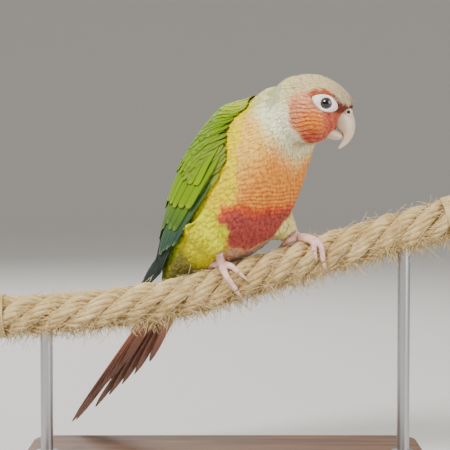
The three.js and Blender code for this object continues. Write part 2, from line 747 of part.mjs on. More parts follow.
const tailSolid = cut(tail(), trunkAir, ropeAir);
add("tail", tailSolid, COLOURS.tail);
for (const [side, s] of Object.entries(eyes)) {
  const folded = cut(wing(s), trunkAir, skullAir, thighAir[side], ropeAir);
  add(`wing_${side}`, folded, COLOURS.wing);
}

// Stand

function stand() {
  const { length, depth, corner, height, edge } = BASE;
  const x = length / 2 - corner;
  const y = depth / 2 - corner;
  const plan = new THREE.Shape();
  plan.absarc(x, y, corner - edge, 0, Math.PI / 2);
  plan.absarc(-x, y, corner - edge, Math.PI / 2, Math.PI);
  plan.absarc(-x, -y, corner - edge, Math.PI, 1.5 * Math.PI);
  plan.absarc(x, -y, corner - edge, 1.5 * Math.PI, 2 * Math.PI);
  const geometry = new THREE.ExtrudeGeometry(plan, {
    depth: height - 2 * edge,
    bevelEnabled: true,
    bevelSize: edge,
    bevelThickness: edge,
    bevelSegments: 1,
    curveSegments: 5,
  }).translate(0, 0, edge);
  return solidOf(geometry);
}

function rod(x) {
  const top = ropeCurve.getPointAt(ropeShareAtX(x)).z;
  const from = BASE.height + GAP;
  const geometry = new THREE.CylinderGeometry(ROD.radius, ROD.radius, top - from, ROD.sides);
  geometry.rotateX(Math.PI / 2).translate(x, 0, (top + from) / 2);
  return cut(solidOf(geometry), ...strandAir);
}

add("stand_base", stand(), COLOURS.wood, 0.5);
add("stand_rod_left", rod(ROD.places[0]), COLOURS.steel, 0.3, 1);
add("stand_rod_right", rod(ROD.places[1]), COLOURS.steel, 0.3, 1);

export default group;
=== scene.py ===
# %% [markdown]
# # A pineapple green-cheeked conure on a rope perch
# A small parrot stands on a short length of thick rope that two rods hold over a wooden board.
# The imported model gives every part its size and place. This lesson dresses it: one skin,
# a coat of overlapping feathers, long wing and tail feathers, bare scaly feet, horn, and twisted yarns.

# %% Load the frame
import math

import bmesh
import bpy
import numpy as np
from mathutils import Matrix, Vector
from mathutils.bvhtree import BVHTree
from mathutils.kdtree import KDTree


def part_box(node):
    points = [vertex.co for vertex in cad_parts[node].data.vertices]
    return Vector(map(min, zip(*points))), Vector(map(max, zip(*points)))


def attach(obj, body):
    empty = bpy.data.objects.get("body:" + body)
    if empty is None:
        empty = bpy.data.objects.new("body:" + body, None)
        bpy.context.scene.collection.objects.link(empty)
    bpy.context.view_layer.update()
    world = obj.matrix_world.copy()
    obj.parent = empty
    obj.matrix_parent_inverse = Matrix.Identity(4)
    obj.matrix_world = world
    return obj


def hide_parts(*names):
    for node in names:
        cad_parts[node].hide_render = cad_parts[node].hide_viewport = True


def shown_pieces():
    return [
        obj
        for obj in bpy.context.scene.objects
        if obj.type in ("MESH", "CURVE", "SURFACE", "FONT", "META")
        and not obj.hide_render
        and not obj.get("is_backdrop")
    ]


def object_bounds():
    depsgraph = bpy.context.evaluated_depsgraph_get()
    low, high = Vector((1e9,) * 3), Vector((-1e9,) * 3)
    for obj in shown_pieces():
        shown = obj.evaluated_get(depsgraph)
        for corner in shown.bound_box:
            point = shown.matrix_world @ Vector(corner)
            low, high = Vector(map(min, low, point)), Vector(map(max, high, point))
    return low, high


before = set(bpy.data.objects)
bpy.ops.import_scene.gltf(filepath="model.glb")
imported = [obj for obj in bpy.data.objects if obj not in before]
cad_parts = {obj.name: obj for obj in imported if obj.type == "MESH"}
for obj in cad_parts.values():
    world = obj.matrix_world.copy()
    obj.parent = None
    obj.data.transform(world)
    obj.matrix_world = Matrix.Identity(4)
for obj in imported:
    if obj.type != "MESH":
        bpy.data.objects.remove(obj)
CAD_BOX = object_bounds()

MM = 0.001
rng = np.random.default_rng(38)
print("nodes in the frame:", len(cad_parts))

# %% [markdown]
# ## Small helpers
# The shapes are worked out in millimetres with arrays, and become metres when a mesh is made.
# `smooth_row` is the same kind of smooth curve through a few points that shaped the solids, so
# the feathers land on them. `smoothstep` fades from one thing to the next.

# %% Helpers for numbers and colours
def linear(code):
    """An sRGB hex colour as the linear colour that Blender works in."""
    values = [int(code[i : i + 2], 16) / 255 for i in (1, 3, 5)]
    return np.array([v / 12.92 if v <= 0.04045 else ((v + 0.055) / 1.055) ** 2.4 for v in values])


def smoothstep(low, high, value):
    t = np.clip((value - low) / (high - low), 0, 1)
    return t * t * (3 - 2 * t)


def mix(a, b, t):
    """Blends rows a into rows b by the share t of each row."""
    return a + (b - a) * np.asarray(t)[..., None]


def unit(rows):
    return rows / np.maximum(np.linalg.norm(rows, axis=-1, keepdims=True), 1e-9)


def smooth_row(rows, shares):
    """Places on the centripetal Catmull-Rom curve through rows, at shares from 0 to 1."""
    rows = np.asarray(rows, float)
    at = np.clip(shares, 0, 1) * (len(rows) - 1)
    first = np.clip(at.astype(int), 0, len(rows) - 2)
    t = (at - first)[:, None]
    ends = np.vstack([2 * rows[0] - rows[1], rows, 2 * rows[-1] - rows[-2]])
    p = [ends[first + i] for i in range(4)]
    d = [np.sqrt(np.linalg.norm(p[i + 1] - p[i], axis=1, keepdims=True)) for i in range(3)]
    d = [np.maximum(step, 1e-3) for step in d]
    out = (p[1] - p[0]) / d[0] - (p[2] - p[0]) / (d[0] + d[1]) + (p[2] - p[1]) / d[1]
    into = (p[2] - p[1]) / d[1] - (p[3] - p[1]) / (d[1] + d[2]) + (p[3] - p[2]) / d[2]
    out = out * d[1]
    into = into * d[1]
    bend = -3 * p[1] + 3 * p[2] - 2 * out - into
    turn = 2 * p[1] - 2 * p[2] + out + into
    return p[1] + out * t + bend * t**2 + turn * t**3


WAVES = rng.normal(size=(9, 3))
PHASES = rng.uniform(0, 2 * math.pi, 9)


def patchy(points, size):
    """A smooth irregular value, mostly from -1 to 1, that changes over about size millimetres."""
    return np.sin(points @ WAVES.T * (4 / size) + PHASES).sum(axis=-1) / 3


# %% [markdown]
# ## The frames of the body, the head and the rope
# A bird is easiest to describe from inside: forward, left and up from the middle of its trunk, and
# the same again for the head, which turns on its own. The rope has a third frame.

# %% Body and head frames
EYE_LEVEL = 122.0
BODY_YAW = math.radians(38)
HEAD_YAW = math.radians(6)
HEAD_PITCH = math.radians(4)
UP = np.array([0.0, 0.0, 1.0])
FORWARD = np.array([math.cos(BODY_YAW), -math.sin(BODY_YAW), 0.0])
LEFT = np.cross(UP, FORWARD)
TRUNK_CENTRE = np.array([5.3, 6.0, EYE_LEVEL + 11])
HEAD_CENTRE = np.array([42.5, -23.0, EYE_LEVEL + 54.5])
YAW_TURN = np.array(
    [
        [math.cos(HEAD_YAW), math.sin(HEAD_YAW), 0],
        [-math.sin(HEAD_YAW), math.cos(HEAD_YAW), 0],
        [0, 0, 1],
    ]
)
PITCH_TURN = np.array(
    [
        [math.cos(HEAD_PITCH), 0, math.sin(HEAD_PITCH)],
        [0, 1, 0],
        [-math.sin(HEAD_PITCH), 0, math.cos(HEAD_PITCH)],
    ]
)
HEAD_TURN = YAW_TURN @ PITCH_TURN


def in_body(f, l, u):
    return TRUNK_CENTRE + f * FORWARD + l * LEFT + u * UP


def in_head(points):
    return np.asarray(points, float) @ HEAD_TURN.T + HEAD_CENTRE


def to_head(points):
    return (points - HEAD_CENTRE) @ HEAD_TURN


# %% The line of the trunk
# Forward and up place of each section, its half width, back radius and belly radius
TRUNK = np.array(
    [
        [-40, -43, 8, 6, 6.5],
        [-32, -34, 14.5, 11.5, 11.5],
        [-22, -23.5, 20.5, 18, 17],
        [-11, -12, 25, 24.5, 22.5],
        [0, 0, 27, 29, 25.5],
        [11, 12, 27, 30.5, 23.5],
        [21, 23, 25, 29.5, 18],
        [30, 32, 21.5, 25.5, 12.5],
        [38, 39, 17.5, 20, 9.5],
        [44, 44, 12, 14, 7],
    ],
    float,
)
RUMP_WIDTH = 13
RUMP_BACK = 11
RUMP_NARROWING = 12


def trunk_section(share):
    """The middle, direction, back direction and size of the trunk's sections at shares of its length."""
    share = np.clip(share, 0, 1)
    at = smooth_row(TRUNK[:, :2], share)
    size = smooth_row(TRUNK[:, 2:], share)
    step = smooth_row(TRUNK[:, :2], share + 1e-4) - smooth_row(TRUNK[:, :2], share - 1e-4)
    line = unit(step[:, :1] * FORWARD + step[:, 1:] * UP)
    middle = TRUNK_CENTRE + at[:, :1] * FORWARD + at[:, 1:] * UP
    return middle, line, unit(np.cross(line, LEFT)), size


TRUNK_STEPS = np.linspace(0, 1, 200)
TRUNK_PATH = trunk_section(TRUNK_STEPS)[0]
TRUNK_LENGTH = np.linalg.norm(np.diff(TRUNK_PATH, axis=0), axis=1).sum()


def on_guide(degrees, share, rise):
    """A place over the trunk: degrees from the middle of the back, share along it, and height over it."""
    degrees, share, rise = np.broadcast_arrays(*[np.asarray(v, float) for v in (degrees, share, rise)])
    shape = share.shape
    share = share.ravel()
    rise = rise.ravel()
    angle = np.radians(degrees.ravel())
    middle, line, back, size = trunk_section(share)
    past = np.minimum(share, 0)
    width = np.maximum(size[:, 0], RUMP_WIDTH + RUMP_NARROWING * past) + rise
    depth = np.maximum(size[:, 1], RUMP_BACK + RUMP_NARROWING * past) + rise
    middle = middle + line * (past * TRUNK_LENGTH)[:, None]
    place = middle + LEFT * (width * np.sin(angle))[:, None] + back * (depth * np.cos(angle))[:, None]
    return place.reshape(shape + (3,))


def trunk_place(points):
    """The share along the trunk, the signed degrees from the back, and the direction down the trunk."""
    d = points - TRUNK_CENTRE
    share = ((d @ FORWARD + d @ UP) / math.sqrt(2) + 58.7) / TRUNK_LENGTH
    for _ in range(2):
        middle, line, back, _ = trunk_section(share)
        share = np.clip(share + ((points - middle) * line).sum(axis=1) / TRUNK_LENGTH, 0, 1)
    middle, line, back, _ = trunk_section(share)
    d = points - middle
    return share, np.degrees(np.arctan2(d @ LEFT, (d * back).sum(axis=1))), -line


print(f"trunk length {TRUNK_LENGTH:.1f} mm")

# %% The line of the rope
ROPE_RADIUS = 9.6
ROPE_LINE = [[-118, -44.4], [-62, -40.6], [-22, -34.6], [20, -22.4], [60, -9.8], [118, 6.2]]
ROPE_PATH = smooth_row(ROPE_LINE, np.linspace(0, 1, 1200)) + [0, EYE_LEVEL]
ROPE_ARC = np.concatenate([[0], np.cumsum(np.linalg.norm(np.diff(ROPE_PATH, axis=0), axis=1))])
ROPE_LENGTH = ROPE_ARC[-1]
CAMERA_SIDE = np.array([0.0, -1.0, 0.0])


def rope_frame(x):
    """The rope's middle, its upward direction and its direction, where it passes x."""
    x = np.asarray(x, float)
    z = np.interp(x, ROPE_PATH[:, 0], ROPE_PATH[:, 1])
    slope = np.interp(x + 0.5, *ROPE_PATH.T) - np.interp(x - 0.5, *ROPE_PATH.T)
    middle = np.stack([x, 0 * x, z], axis=-1)
    along = unit(np.stack([1 + 0 * x, 0 * x, slope], axis=-1))
    return middle, np.cross(CAMERA_SIDE, along), along


def by_rope(x, degrees, distance):
    """A place by the rope: degrees from its top towards the camera, and distance from its middle line."""
    middle, out, _ = rope_frame(x)
    turn = np.radians(degrees)[..., None]
    return middle + np.asarray(distance)[..., None] * (out * np.cos(turn) + CAMERA_SIDE * np.sin(turn))


def from_rope(points):
    """Pushes points that lie inside the rope out to its surface."""
    middle, _, along = rope_frame(points[..., 0])
    away = points - middle
    away = away - along * (away * along).sum(axis=-1, keepdims=True)
    distance = np.linalg.norm(away, axis=-1, keepdims=True)
    return points + away / np.maximum(distance, 1e-6) * np.maximum(ROPE_RADIUS + 0.4 - distance, 0)


print(f"rope length {ROPE_LENGTH:.1f} mm")

# %% [markdown]
# ## Making meshes
# Three ways are used. `loft` wraps a bmesh grid round a path for toes, yarns and horn. `vane` is one
# flat feather made with a bmesh grid and solidify, and `plumes` lays thousands of copies of it
# over the skin at once with arrays. `refined` copies solids, melts them together and smooths them.

# %% Mesh helpers
def finish_piece(name, mesh, material, replaced=()):
    """Puts a mesh in the scene as a piece of the bird, riding on its one body."""
    for polygon in mesh.polygons:
        polygon.use_smooth = True
    piece = bpy.data.objects.new(name, mesh)
    bpy.context.scene.collection.objects.link(piece)
    mesh.materials.append(material)
    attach(piece, "root")
    if replaced:
        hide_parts(*replaced)
    print(f"{name}: {len(mesh.polygons)} faces")
    return piece


def mesh_of(bm, name):
    mesh = bpy.data.meshes.new(name)
    bm.to_mesh(mesh)
    bm.free()
    return mesh


def loft(bm, sides, rows, place):
    """A closed tube from a grid: place gives a point for each angle round it and share of its length."""
    if not bm.loops.layers.uv.get("Round"):
        bm.loops.layers.uv.new("Round")
    grid = bmesh.ops.create_grid(bm, x_segments=sides, y_segments=rows, size=1.0, calc_uvs=True)["verts"]
    xy = np.array([v.co[:2] for v in grid])
    points = place((xy[:, 0] + 1) * math.pi, (xy[:, 1] + 1) / 2)
    for vert, point in zip(grid, points * MM):
        vert.co = point
    bmesh.ops.remove_doubles(bm, verts=grid, dist=1e-6)


def lofted(name, parts):
    """One mesh of several lofts, with its faces pointing out."""
    bm = bmesh.new()
    for sides, rows, place in parts:
        loft(bm, sides, rows, place)
    bmesh.ops.recalc_face_normals(bm, faces=bm.faces[:])
    return mesh_of(bm, name)


def applied(mesh, *settings):
    """The mesh after modifiers, each given as its kind and its settings."""
    holder = bpy.data.objects.new("holder", mesh)
    bpy.context.scene.collection.objects.link(holder)
    for kind, values in settings:
        modifier = holder.modifiers.new(kind, kind)
        for key, value in values.items():
            setattr(modifier, key, value)
    depsgraph = bpy.context.evaluated_depsgraph_get()
    made = bpy.data.meshes.new_from_object(holder.evaluated_get(depsgraph))
    made.name = mesh.name
    bpy.data.objects.remove(holder)
    return made


def refined(name, meshes, swell, voxel, rounds, inset):
    """Melts meshes into one skin: swollen to meet, remeshed, smoothed and drawn in by inset(points)."""
    bm = bmesh.new()
    for mesh in meshes:
        bm.from_mesh(mesh)
    bmesh.ops.remove_doubles(bm, verts=bm.verts[:], dist=1e-6)
    bm.normal_update()
    for vert in bm.verts:
        vert.co += vert.normal * swell * MM
    melted = applied(mesh_of(bm, name), ("REMESH", {"mode": "VOXEL", "voxel_size": voxel * MM}))
    bm = bmesh.new()
    bm.from_mesh(melted)
    for _ in range(rounds):
        bmesh.ops.smooth_vert(
            bm, verts=bm.verts[:], factor=0.5, use_axis_x=True, use_axis_y=True, use_axis_z=True
        )
    bm.normal_update()
    depth = inset(np.array([v.co[:] for v in bm.verts]) / MM)
    for vert, d in zip(bm.verts, depth):
        vert.co -= vert.normal * float(d) * MM
    return mesh_of(bm, name)


# %% One vane, and many laid at once
def vane(columns, rows):
    """A flat closed vane as arrays: place across, row number and face of each corner, and its quads."""
    bm = bmesh.new()
    bmesh.ops.create_grid(bm, x_segments=columns, y_segments=rows, size=1.0)
    bmesh.ops.solidify(bm, geom=bm.faces[:], thickness=1.0)
    bmesh.ops.recalc_face_normals(bm, faces=bm.faces[:])
    bm.verts.index_update()
    xyz = np.array([v.co[:] for v in bm.verts])
    quads = np.array([[v.index for v in f.verts] for f in bm.faces])
    bm.free()
    column = np.round((xyz[:, 0] + 1) / 2 * columns).astype(int)
    row = np.round((xyz[:, 1] + 1) / 2 * rows).astype(int)
    return {"across": xyz[:, 0], "column": column, "row": row, "face": xyz[:, 2], "quads": quads}


def shell(name, points, quads, uvs, colours):
    """A mesh from arrays: corners in millimetres, quads, UV maps by name and one colour a corner."""
    mesh = bpy.data.meshes.new(name)
    mesh.vertices.add(len(points))
    mesh.vertices.foreach_set("co", (points * MM).astype(np.float32).ravel())
    mesh.loops.add(quads.size)
    mesh.loops.foreach_set("vertex_index", quads.astype(np.int32).ravel())
    mesh.polygons.add(len(quads))
    mesh.polygons.foreach_set("loop_start", np.arange(0, quads.size, 4, dtype=np.int32))
    mesh.update(calc_edges=True)
    for key, values in uvs.items():
        layer = mesh.uv_layers.new(name=key)
        layer.uv.foreach_set("vector", values[quads.ravel()].astype(np.float32).ravel())
    layer = mesh.attributes.new("plumage", "FLOAT_COLOR", "POINT")
    marked = np.ones((len(colours), 4), np.float32)
    marked[:, : colours.shape[1]] = colours
    layer.data.foreach_set("color", marked.ravel())
    return mesh


def plumes(name, shape, rows_of, thick, roots=None, camber=0.12, fray=0.0, tilt=0.0, on_rope=False):
    """Many vanes as one mesh. rows_of holds their places, normals, half widths and colours, in rows
    from root to tip. roots is each vane's place on the unwrap. on_rope lets vanes lie in the rope."""
    centre, normal, half, colours = rows_of
    count, rows, _ = centre.shape
    along = unit(np.gradient(centre, axis=1))
    side = unit(np.cross(along, normal))
    normal = unit(np.cross(side, along))
    row = shape["row"]
    across = shape["across"]
    x = across * half[:, row]
    rise = (shape["face"]) * thick - camber * x * across + tilt * across
    torn = rng.uniform(-1, 1, (count, shape["column"].max() + 1))[:, shape["column"]]
    weight = (row / (rows - 1)) ** 4
    length = np.linalg.norm(np.diff(centre, axis=1), axis=2).sum(axis=1)
    slide = torn * weight * fray * length[:, None]
    points = centre[:, row] + side[:, row] * x[..., None] + normal[:, row] * rise[..., None]
    points = points + along[:, row] * slide[..., None]
    step = len(row) * np.arange(count)[:, None, None]
    quads = (shape["quads"][None] + step).reshape(-1, 4)
    far = (row / (rows - 1))[None] * length[:, None]
    uvs = {"Feather": np.stack([x, far], axis=-1).reshape(-1, 2) / 10}
    if roots is not None:
        patch = np.stack([across / 2, row / (rows - 1)], axis=-1) * 0.003
        uvs["OFBake"] = (roots[:, None] + patch[None]).reshape(-1, 2)
    points = points if on_rope else from_rope(points)
    return shell(name, points.reshape(-1, 3), quads, uvs, colours[:, row].reshape(-1, colours.shape[-1]))


print("mesh helpers ready")

# %% [markdown]
# ## Materials
# Feathers are keratin barbs, matt with a faint sheen. Their colours come from one attribute that the
# markings below fill in, so that skin and coat agree. Its alpha falls where dark bars show; on the
# breast these bars are the feathers' darker edges with painted shadow under the rows of tips. Barbs are
# drawn as fine slanting lines either side of the shaft. Horn, bare skin, wet eyes, jute yarn, oiled
# wood and brushed steel follow.

# %% Node helpers
def add_node(tree, kind, inputs, output=0, **settings):
    """Adds a shader node and returns one of its outputs. inputs gives each socket a value or an output."""
    node = tree.nodes.new("ShaderNode" + kind)
    for name, value in settings.items():
        setattr(node, name, value)
    for socket, value in inputs.items():
        if isinstance(value, bpy.types.NodeSocket):
            tree.links.new(value, node.inputs[socket])
        else:
            node.inputs[socket].default_value = value
    return node.outputs[output]


def object_place(tree):
    return add_node(tree, "TexCoord", {}, "Object")


def noise(tree, place, scale, detail=2.0, **more):
    return add_node(tree, "TexNoise", {"Vector": place, "Scale": scale, "Detail": detail, **more}, "Fac")


def wave(tree, place, direction, scale, distortion, detail, detail_scale=1.0):
    looks = {"Scale": scale, "Distortion": distortion, "Detail": detail, "Detail Scale": detail_scale}
    return add_node(tree, "TexWave", {"Vector": place, **looks}, "Fac", bands_direction=direction)


def spread(tree, value, low, high, least=0.0, most=1.0):
    """value as a share from low to high, drawn out from least to most."""
    ends = {"From Min": low, "From Max": high, "To Min": least, "To Max": most}
    return add_node(tree, "MapRange", {"Value": value, **ends})


def two_tone(tree, share, first, second):
    return add_node(tree, "Mix", {0: share, 6: first, 7: second}, 2, data_type="RGBA")


def reckon(tree, operation, *values):
    return add_node(tree, "Math", dict(enumerate(values)), operation=operation)


def new_material(name, **values):
    """A material with values set on its surface's own sockets, by their names with _ for a space."""
    material = bpy.data.materials.new(name)
    material.use_nodes = True
    surface = material.node_tree.nodes["Principled BSDF"]
    for key, value in values.items():
        surface.inputs[key.replace("_", " ")].default_value = value
    return material, material.node_tree, surface


def bump_by(tree, surface, height, strength, depth):
    """Bumps a surface by height, up to depth in metres."""
    bump = add_node(tree, "Bump", {"Height": height, "Strength": strength, "Distance": depth})
    tree.links.new(bump, surface.inputs["Normal"])


def dress(tree, surface, colour, height, strength, depth):
    """Links a colour to a surface, and bumps it too."""
    tree.links.new(colour, surface.inputs["Base Color"])
    bump_by(tree, surface, height, strength, depth)


def rgba(code):
    return (*linear(code), 1.0)


# %% Feather keratin
BAR_PITCH = 0.002
# Tint of the dark bars: darker feather edges and painted shadow under the rows of tips
BAR_EDGE_AND_SHADOW_TINT = (0.55, 0.3, 0.22, 1)
# A wave of scale 1 repeats each 0.314
WAVE_PITCH = 0.314


def feather_keratin(name, pitch, contrast):
    """Barbs that slant from the shaft, pitch in millimetres apart, in the markings' colours. The less
    alpha the markings have, the darker the level bars across them. On the breast these bars are the
    feathers' darker edges with painted shadow under the rows of tips."""
    material, tree, surface = new_material(
        name, Roughness=0.62, IOR=1.54, Sheen_Weight=0.03, Sheen_Roughness=0.4, Specular_IOR_Level=0.12
    )
    markings = add_node(tree, "Attribute", {}, "Color", attribute_name="plumage")
    across = add_node(tree, "SeparateXYZ", {"Vector": add_node(tree, "UVMap", {}, uv_map="Feather")})
    side = reckon(tree, "ABSOLUTE", across)
    along = reckon(tree, "SUBTRACT", across.node.outputs["Y"], reckon(tree, "MULTIPLY", side, 0.9))
    place = add_node(tree, "CombineXYZ", {"X": along, "Y": side})
    barbs = wave(tree, place, "X", 10 / pitch / 3.2, 1.6, 2.0, 2.0)
    shade = spread(tree, barbs, 0.0, 1.0, 1 - contrast, 1 + contrast / 2)
    colour = add_node(tree, "VectorMath", {0: markings, "Scale": shade}, operation="SCALE")
    # Level bars: on the breast, darker feather edges and painted shadow under the rows of tips
    bars = wave(tree, object_place(tree), "Z", WAVE_PITCH / BAR_PITCH, 8.0, 1.0, 0.45)
    barred = reckon(tree, "SUBTRACT", 1.0, markings.node.outputs["Alpha"])
    weight = reckon(tree, "MULTIPLY", spread(tree, bars, 0.42, 0.85), barred)
    tint = two_tone(tree, weight, (1, 1, 1, 1), BAR_EDGE_AND_SHADOW_TINT)
    tinted = add_node(tree, "VectorMath", {0: colour, 1: tint}, operation="MULTIPLY")
    dress(tree, surface, tinted, barbs, 0.35, 0.0002)
    return material


CONTOUR_KERATIN = feather_keratin("soft_contour_feather_keratin", 0.45, 0.12)
FLIGHT_KERATIN = feather_keratin("firm_flight_feather_keratin", 0.7, 0.14)
print("feather materials ready")


# %% Horn and bare skin
def horn_keratin(name, pale, dark, rough):
    """Layered horn: pale with faint growth lines and a slightly waxy skin."""
    material, tree, surface = new_material(
        name, Roughness=rough, IOR=1.55, Subsurface_Weight=0.12, Subsurface_Radius=(0.9, 0.6, 0.4),
        Subsurface_Scale=0.001
    )
    place = object_place(tree)
    tone = two_tone(tree, noise(tree, place, 260.0, 5.0), rgba(pale), rgba(dark))
    dress(tree, surface, tone, wave(tree, place, "Z", 520.0, 7.0, 3.0), 0.12, 0.0002)
    return material


def bare_skin(name, pale, deep, grain):
    """Thin living skin: pink under a dry pale surface, with fine creases."""
    material, tree, surface = new_material(
        name, Roughness=0.52, IOR=1.42, Subsurface_Weight=0.25, Subsurface_Radius=(1.0, 0.45, 0.3),
        Subsurface_Scale=0.0012
    )
    place = object_place(tree)
    cells = add_node(tree, "TexVoronoi", {"Vector": place, "Scale": 1 / (grain * MM)}, "Distance")
    tone = two_tone(tree, spread(tree, noise(tree, place, 320.0), 0.35, 0.65), rgba(pale), rgba(deep))
    dress(tree, surface, tone, cells, 0.3, 0.00025)
    return material


BILL_HORN = horn_keratin("waxy_bill_horn", "#f0dcc2", "#c9ac8c", 0.34)
CLAW_HORN = horn_keratin("claw_horn", "#dcbfae", "#b4927f", 0.38)
RING_SKIN = bare_skin("white_eye_ring_skin", "#f4ece6", "#e2d2c8", 0.5)
CERE_SKIN = bare_skin("bare_cere_skin", "#ecd6c4", "#d9bba6", 0.5)
FOOT_SKIN = bare_skin("pink_foot_skin", "#e8c4b6", "#cf9f92", 0.7)
print("horn and skin materials ready")

# %% [markdown]
# ## The markings
# The bird's colours are set once, as a function of place. On the trunk they depend on the share along it and
# the degrees from the back. On the head they depend on the side view, where the red cheek is one
# rounded patch. Borders wander by a millimetre or two, as rows of feathers make them do.

# %% Colours of the plumage
CROWN = linear("#ceba8b")
NAPE = linear("#d0c780")
FOREHEAD = linear("#c2ad8c")
FACE_PEACH = linear("#f3c492")
FACE_STREAK = linear("#cc5c3c")
FACE_GOLD = linear("#f09440")
FACE_RED = linear("#c95746")
BROW = linear("#ab5130")
LORES = linear("#74382a")
CREAM = linear("#f0dc96")
COLLAR = linear("#f3f3ca")
YELLOW = linear("#ecd200")
LIME = linear("#dcd800")
ORANGE = linear("#f19b40")
PEACH = linear("#f3be57")
EMBER = linear("#e86232")
RED = linear("#af4e47")
# Painted shade: the vent's yellow-green as it looks in shade under the rump, and the tan of the shaded
# underside
VENT_IN_PAINTED_SHADE = linear("#86803c")
UNDERSIDE_IN_PAINTED_SHADE = linear("#d0a488")
GREEN = linear("#6e8e04")
WING_LIME = linear("#8cc800")
MANTLE = linear("#9ca418")
TAIL_RED = linear("#ac7662")
TAIL_BROWN = linear("#8c6757")

# Where one colour gives way to the next: rows of share along the trunk and degrees from the back
GREEN_EDGE = [(0.3, 92), (0.42, 88), (0.48, 85), (0.56, 80), (0.62, 72), (0.66, 50), (0.72, 30)]
GREEN_EDGE += [(0.76, 36), (0.8, 20)]
ORANGE_EDGE = [(0.44, 111), (0.54, 115), (0.58, 111), (0.62, 100), (0.65, 88)]
ORANGE_EDGE += [(0.68, 77), (0.72, 71), (0.76, 51)]
COLLAR_EDGE = [(0, 0.84), (30, 0.8), (51, 0.775), (72, 0.786), (103, 0.779), (119, 0.764)]
COLLAR_EDGE += [(139, 0.745), (180, 0.719)]
# The red belly: degrees from the back round by the right side, and the shares where it begins and ends
RED_TOP = [(108, 0.485), (123, 0.533), (147, 0.546), (161, 0.566), (190, 0.58), (215, 0.56), (250, 0.48)]
RED_LOW = [(110, 0.445), (128, 0.43), (138, 0.37), (151, 0.37), (169, 0.385), (195, 0.44), (250, 0.43)]
# The face patch's outline in the head's side view: forward and up from the middle of the skull
FACE = np.array(
    [[-12.6, 2.1], [-11.3, 5.6], [-6.9, 7.4], [-3.6, 8.7], [0.1, 9.6], [5, 9.2], [8.1, 7.4]]
    + [[10.2, 4.3], [12.3, 2.9], [17.6, 3.6], [17.8, 0.2], [12, -3], [11, -8], [6.5, -13.5]]
    + [[2.2, -15.2], [-1.3, -16.8], [-4.1, -15.8], [-6.4, -13.3], [-9.2, -10.1], [-11.2, -6.9], [-12.2, -2.4]]
)
BAR_SPACING = 2.7
STREAK_SPACING = 1.7
# The distances from the middle of the skull between which the trunk's colours give way to the head's
HEAD_EDGE = (23, 17.5)


def inside(places, outline):
    """How far places lie inside a closed outline, negative outside it."""
    start = outline[None]
    step = np.roll(outline, -1, axis=0)[None] - start
    away = places[:, None] - start
    t = np.clip((away * step).sum(axis=2) / (step**2).sum(axis=2), 0, 1)
    distance = np.linalg.norm(away - step * t[..., None], axis=2).min(axis=1)
    other = start + step
    spans = (start[..., 1] > places[:, None, 1]) != (other[..., 1] > places[:, None, 1])
    rise = np.where(step[..., 1] == 0, 1e-9, step[..., 1])
    crossing = start[..., 0] + (places[:, None, 1] - start[..., 1]) / rise * step[..., 0]
    odd = (spans & (crossing > places[:, None, 0])).sum(axis=1) % 2
    return np.where(odd == 1, distance, -distance)


def interp(value, row):
    return np.interp(value, *np.array(row).T)


def head_colour(head, points):
    f, l, u = head.T
    colour = mix(CROWN, FOREHEAD, smoothstep(6, 14, f + 0.3 * u))
    colour = mix(colour, NAPE, smoothstep(-10, -17, f - 0.2 * u))
    colour = mix(colour, COLLAR, smoothstep(2, -7, u + 0.25 * f) * smoothstep(5, 9, abs(l) - 0.2 * u))
    colour = colour * (1 + 0.09 * patchy(points, 2.6))[:, None]
    edge = inside(head[:, [0, 2]], FACE) + 0.5 * patchy(points, 4)
    streaks = np.sin((u + 0.3 * f + 0.3 * patchy(points, 9)) * 2 * math.pi / STREAK_SPACING)
    face = mix(FACE_PEACH, FACE_STREAK, 0.35 + 0.35 * smoothstep(-0.4, 0.7, streaks))
    gold = smoothstep(7.5, 3, np.hypot((f + 1) * 0.8, u + 6.3))
    face = mix(face, mix(FACE_GOLD, FACE_STREAK, 0.4 * smoothstep(0.2, 1, streaks)), gold)
    red = smoothstep(-8, -11, u + 0.25 * f) * smoothstep(-8, -3, f)
    red = np.maximum(red, smoothstep(2, 6, f) * smoothstep(1.5, -0.5, u))
    face = mix(face, FACE_RED, red * (0.8 + 0.2 * patchy(points, 3)))
    face = mix(face, BROW, smoothstep(4.8, 6, u) * smoothstep(-5, -2, f))
    face = mix(face, LORES, smoothstep(7.8, 9.6, f + 0.2 * u) * smoothstep(-1.6, -0.2, u))
    return mix(colour, face, smoothstep(-0.6, 0.8, edge) * smoothstep(1.2, 4, abs(l) + 0.15 * f))


def bar_weight(points):
    """How strongly the dark bars show at points: on the lower breast, where they are darker feather edges
    with painted shadow under the rows of tips, and in streaks behind the eye.
    """
    head = to_head(points)
    share, signed, _ = trunk_place(points)
    degrees = abs(signed)
    # The breast's bars: darker feather edges and painted shadow under the rows of tips
    breast = smoothstep(0.72, 0.58, share) * smoothstep(0.5, 0.56, share)
    breast = 0.62 * breast * smoothstep(-4, 8, degrees - interp(share, ORANGE_EDGE))
    face = smoothstep(0, 1.5, inside(head[:, [0, 2]], FACE)) * smoothstep(1.2, 4, abs(head[:, 1]))
    face = face * smoothstep(5, 1, head[:, 0]) * smoothstep(5, 2, head[:, 2]) * 0.75
    reach = np.linalg.norm(head, axis=1)
    return breast + (face - breast) * smoothstep(*HEAD_EDGE, reach)


def by_far_thigh(points):
    """How far points are from the line down the far thigh."""
    hip = in_body(11, 17, -8)
    line = in_body(22.5, 14, -16) - hip
    along = np.clip((points - hip) @ line / (line @ line), 0, 1)
    return np.linalg.norm(points - hip - along[:, None] * line, axis=1)


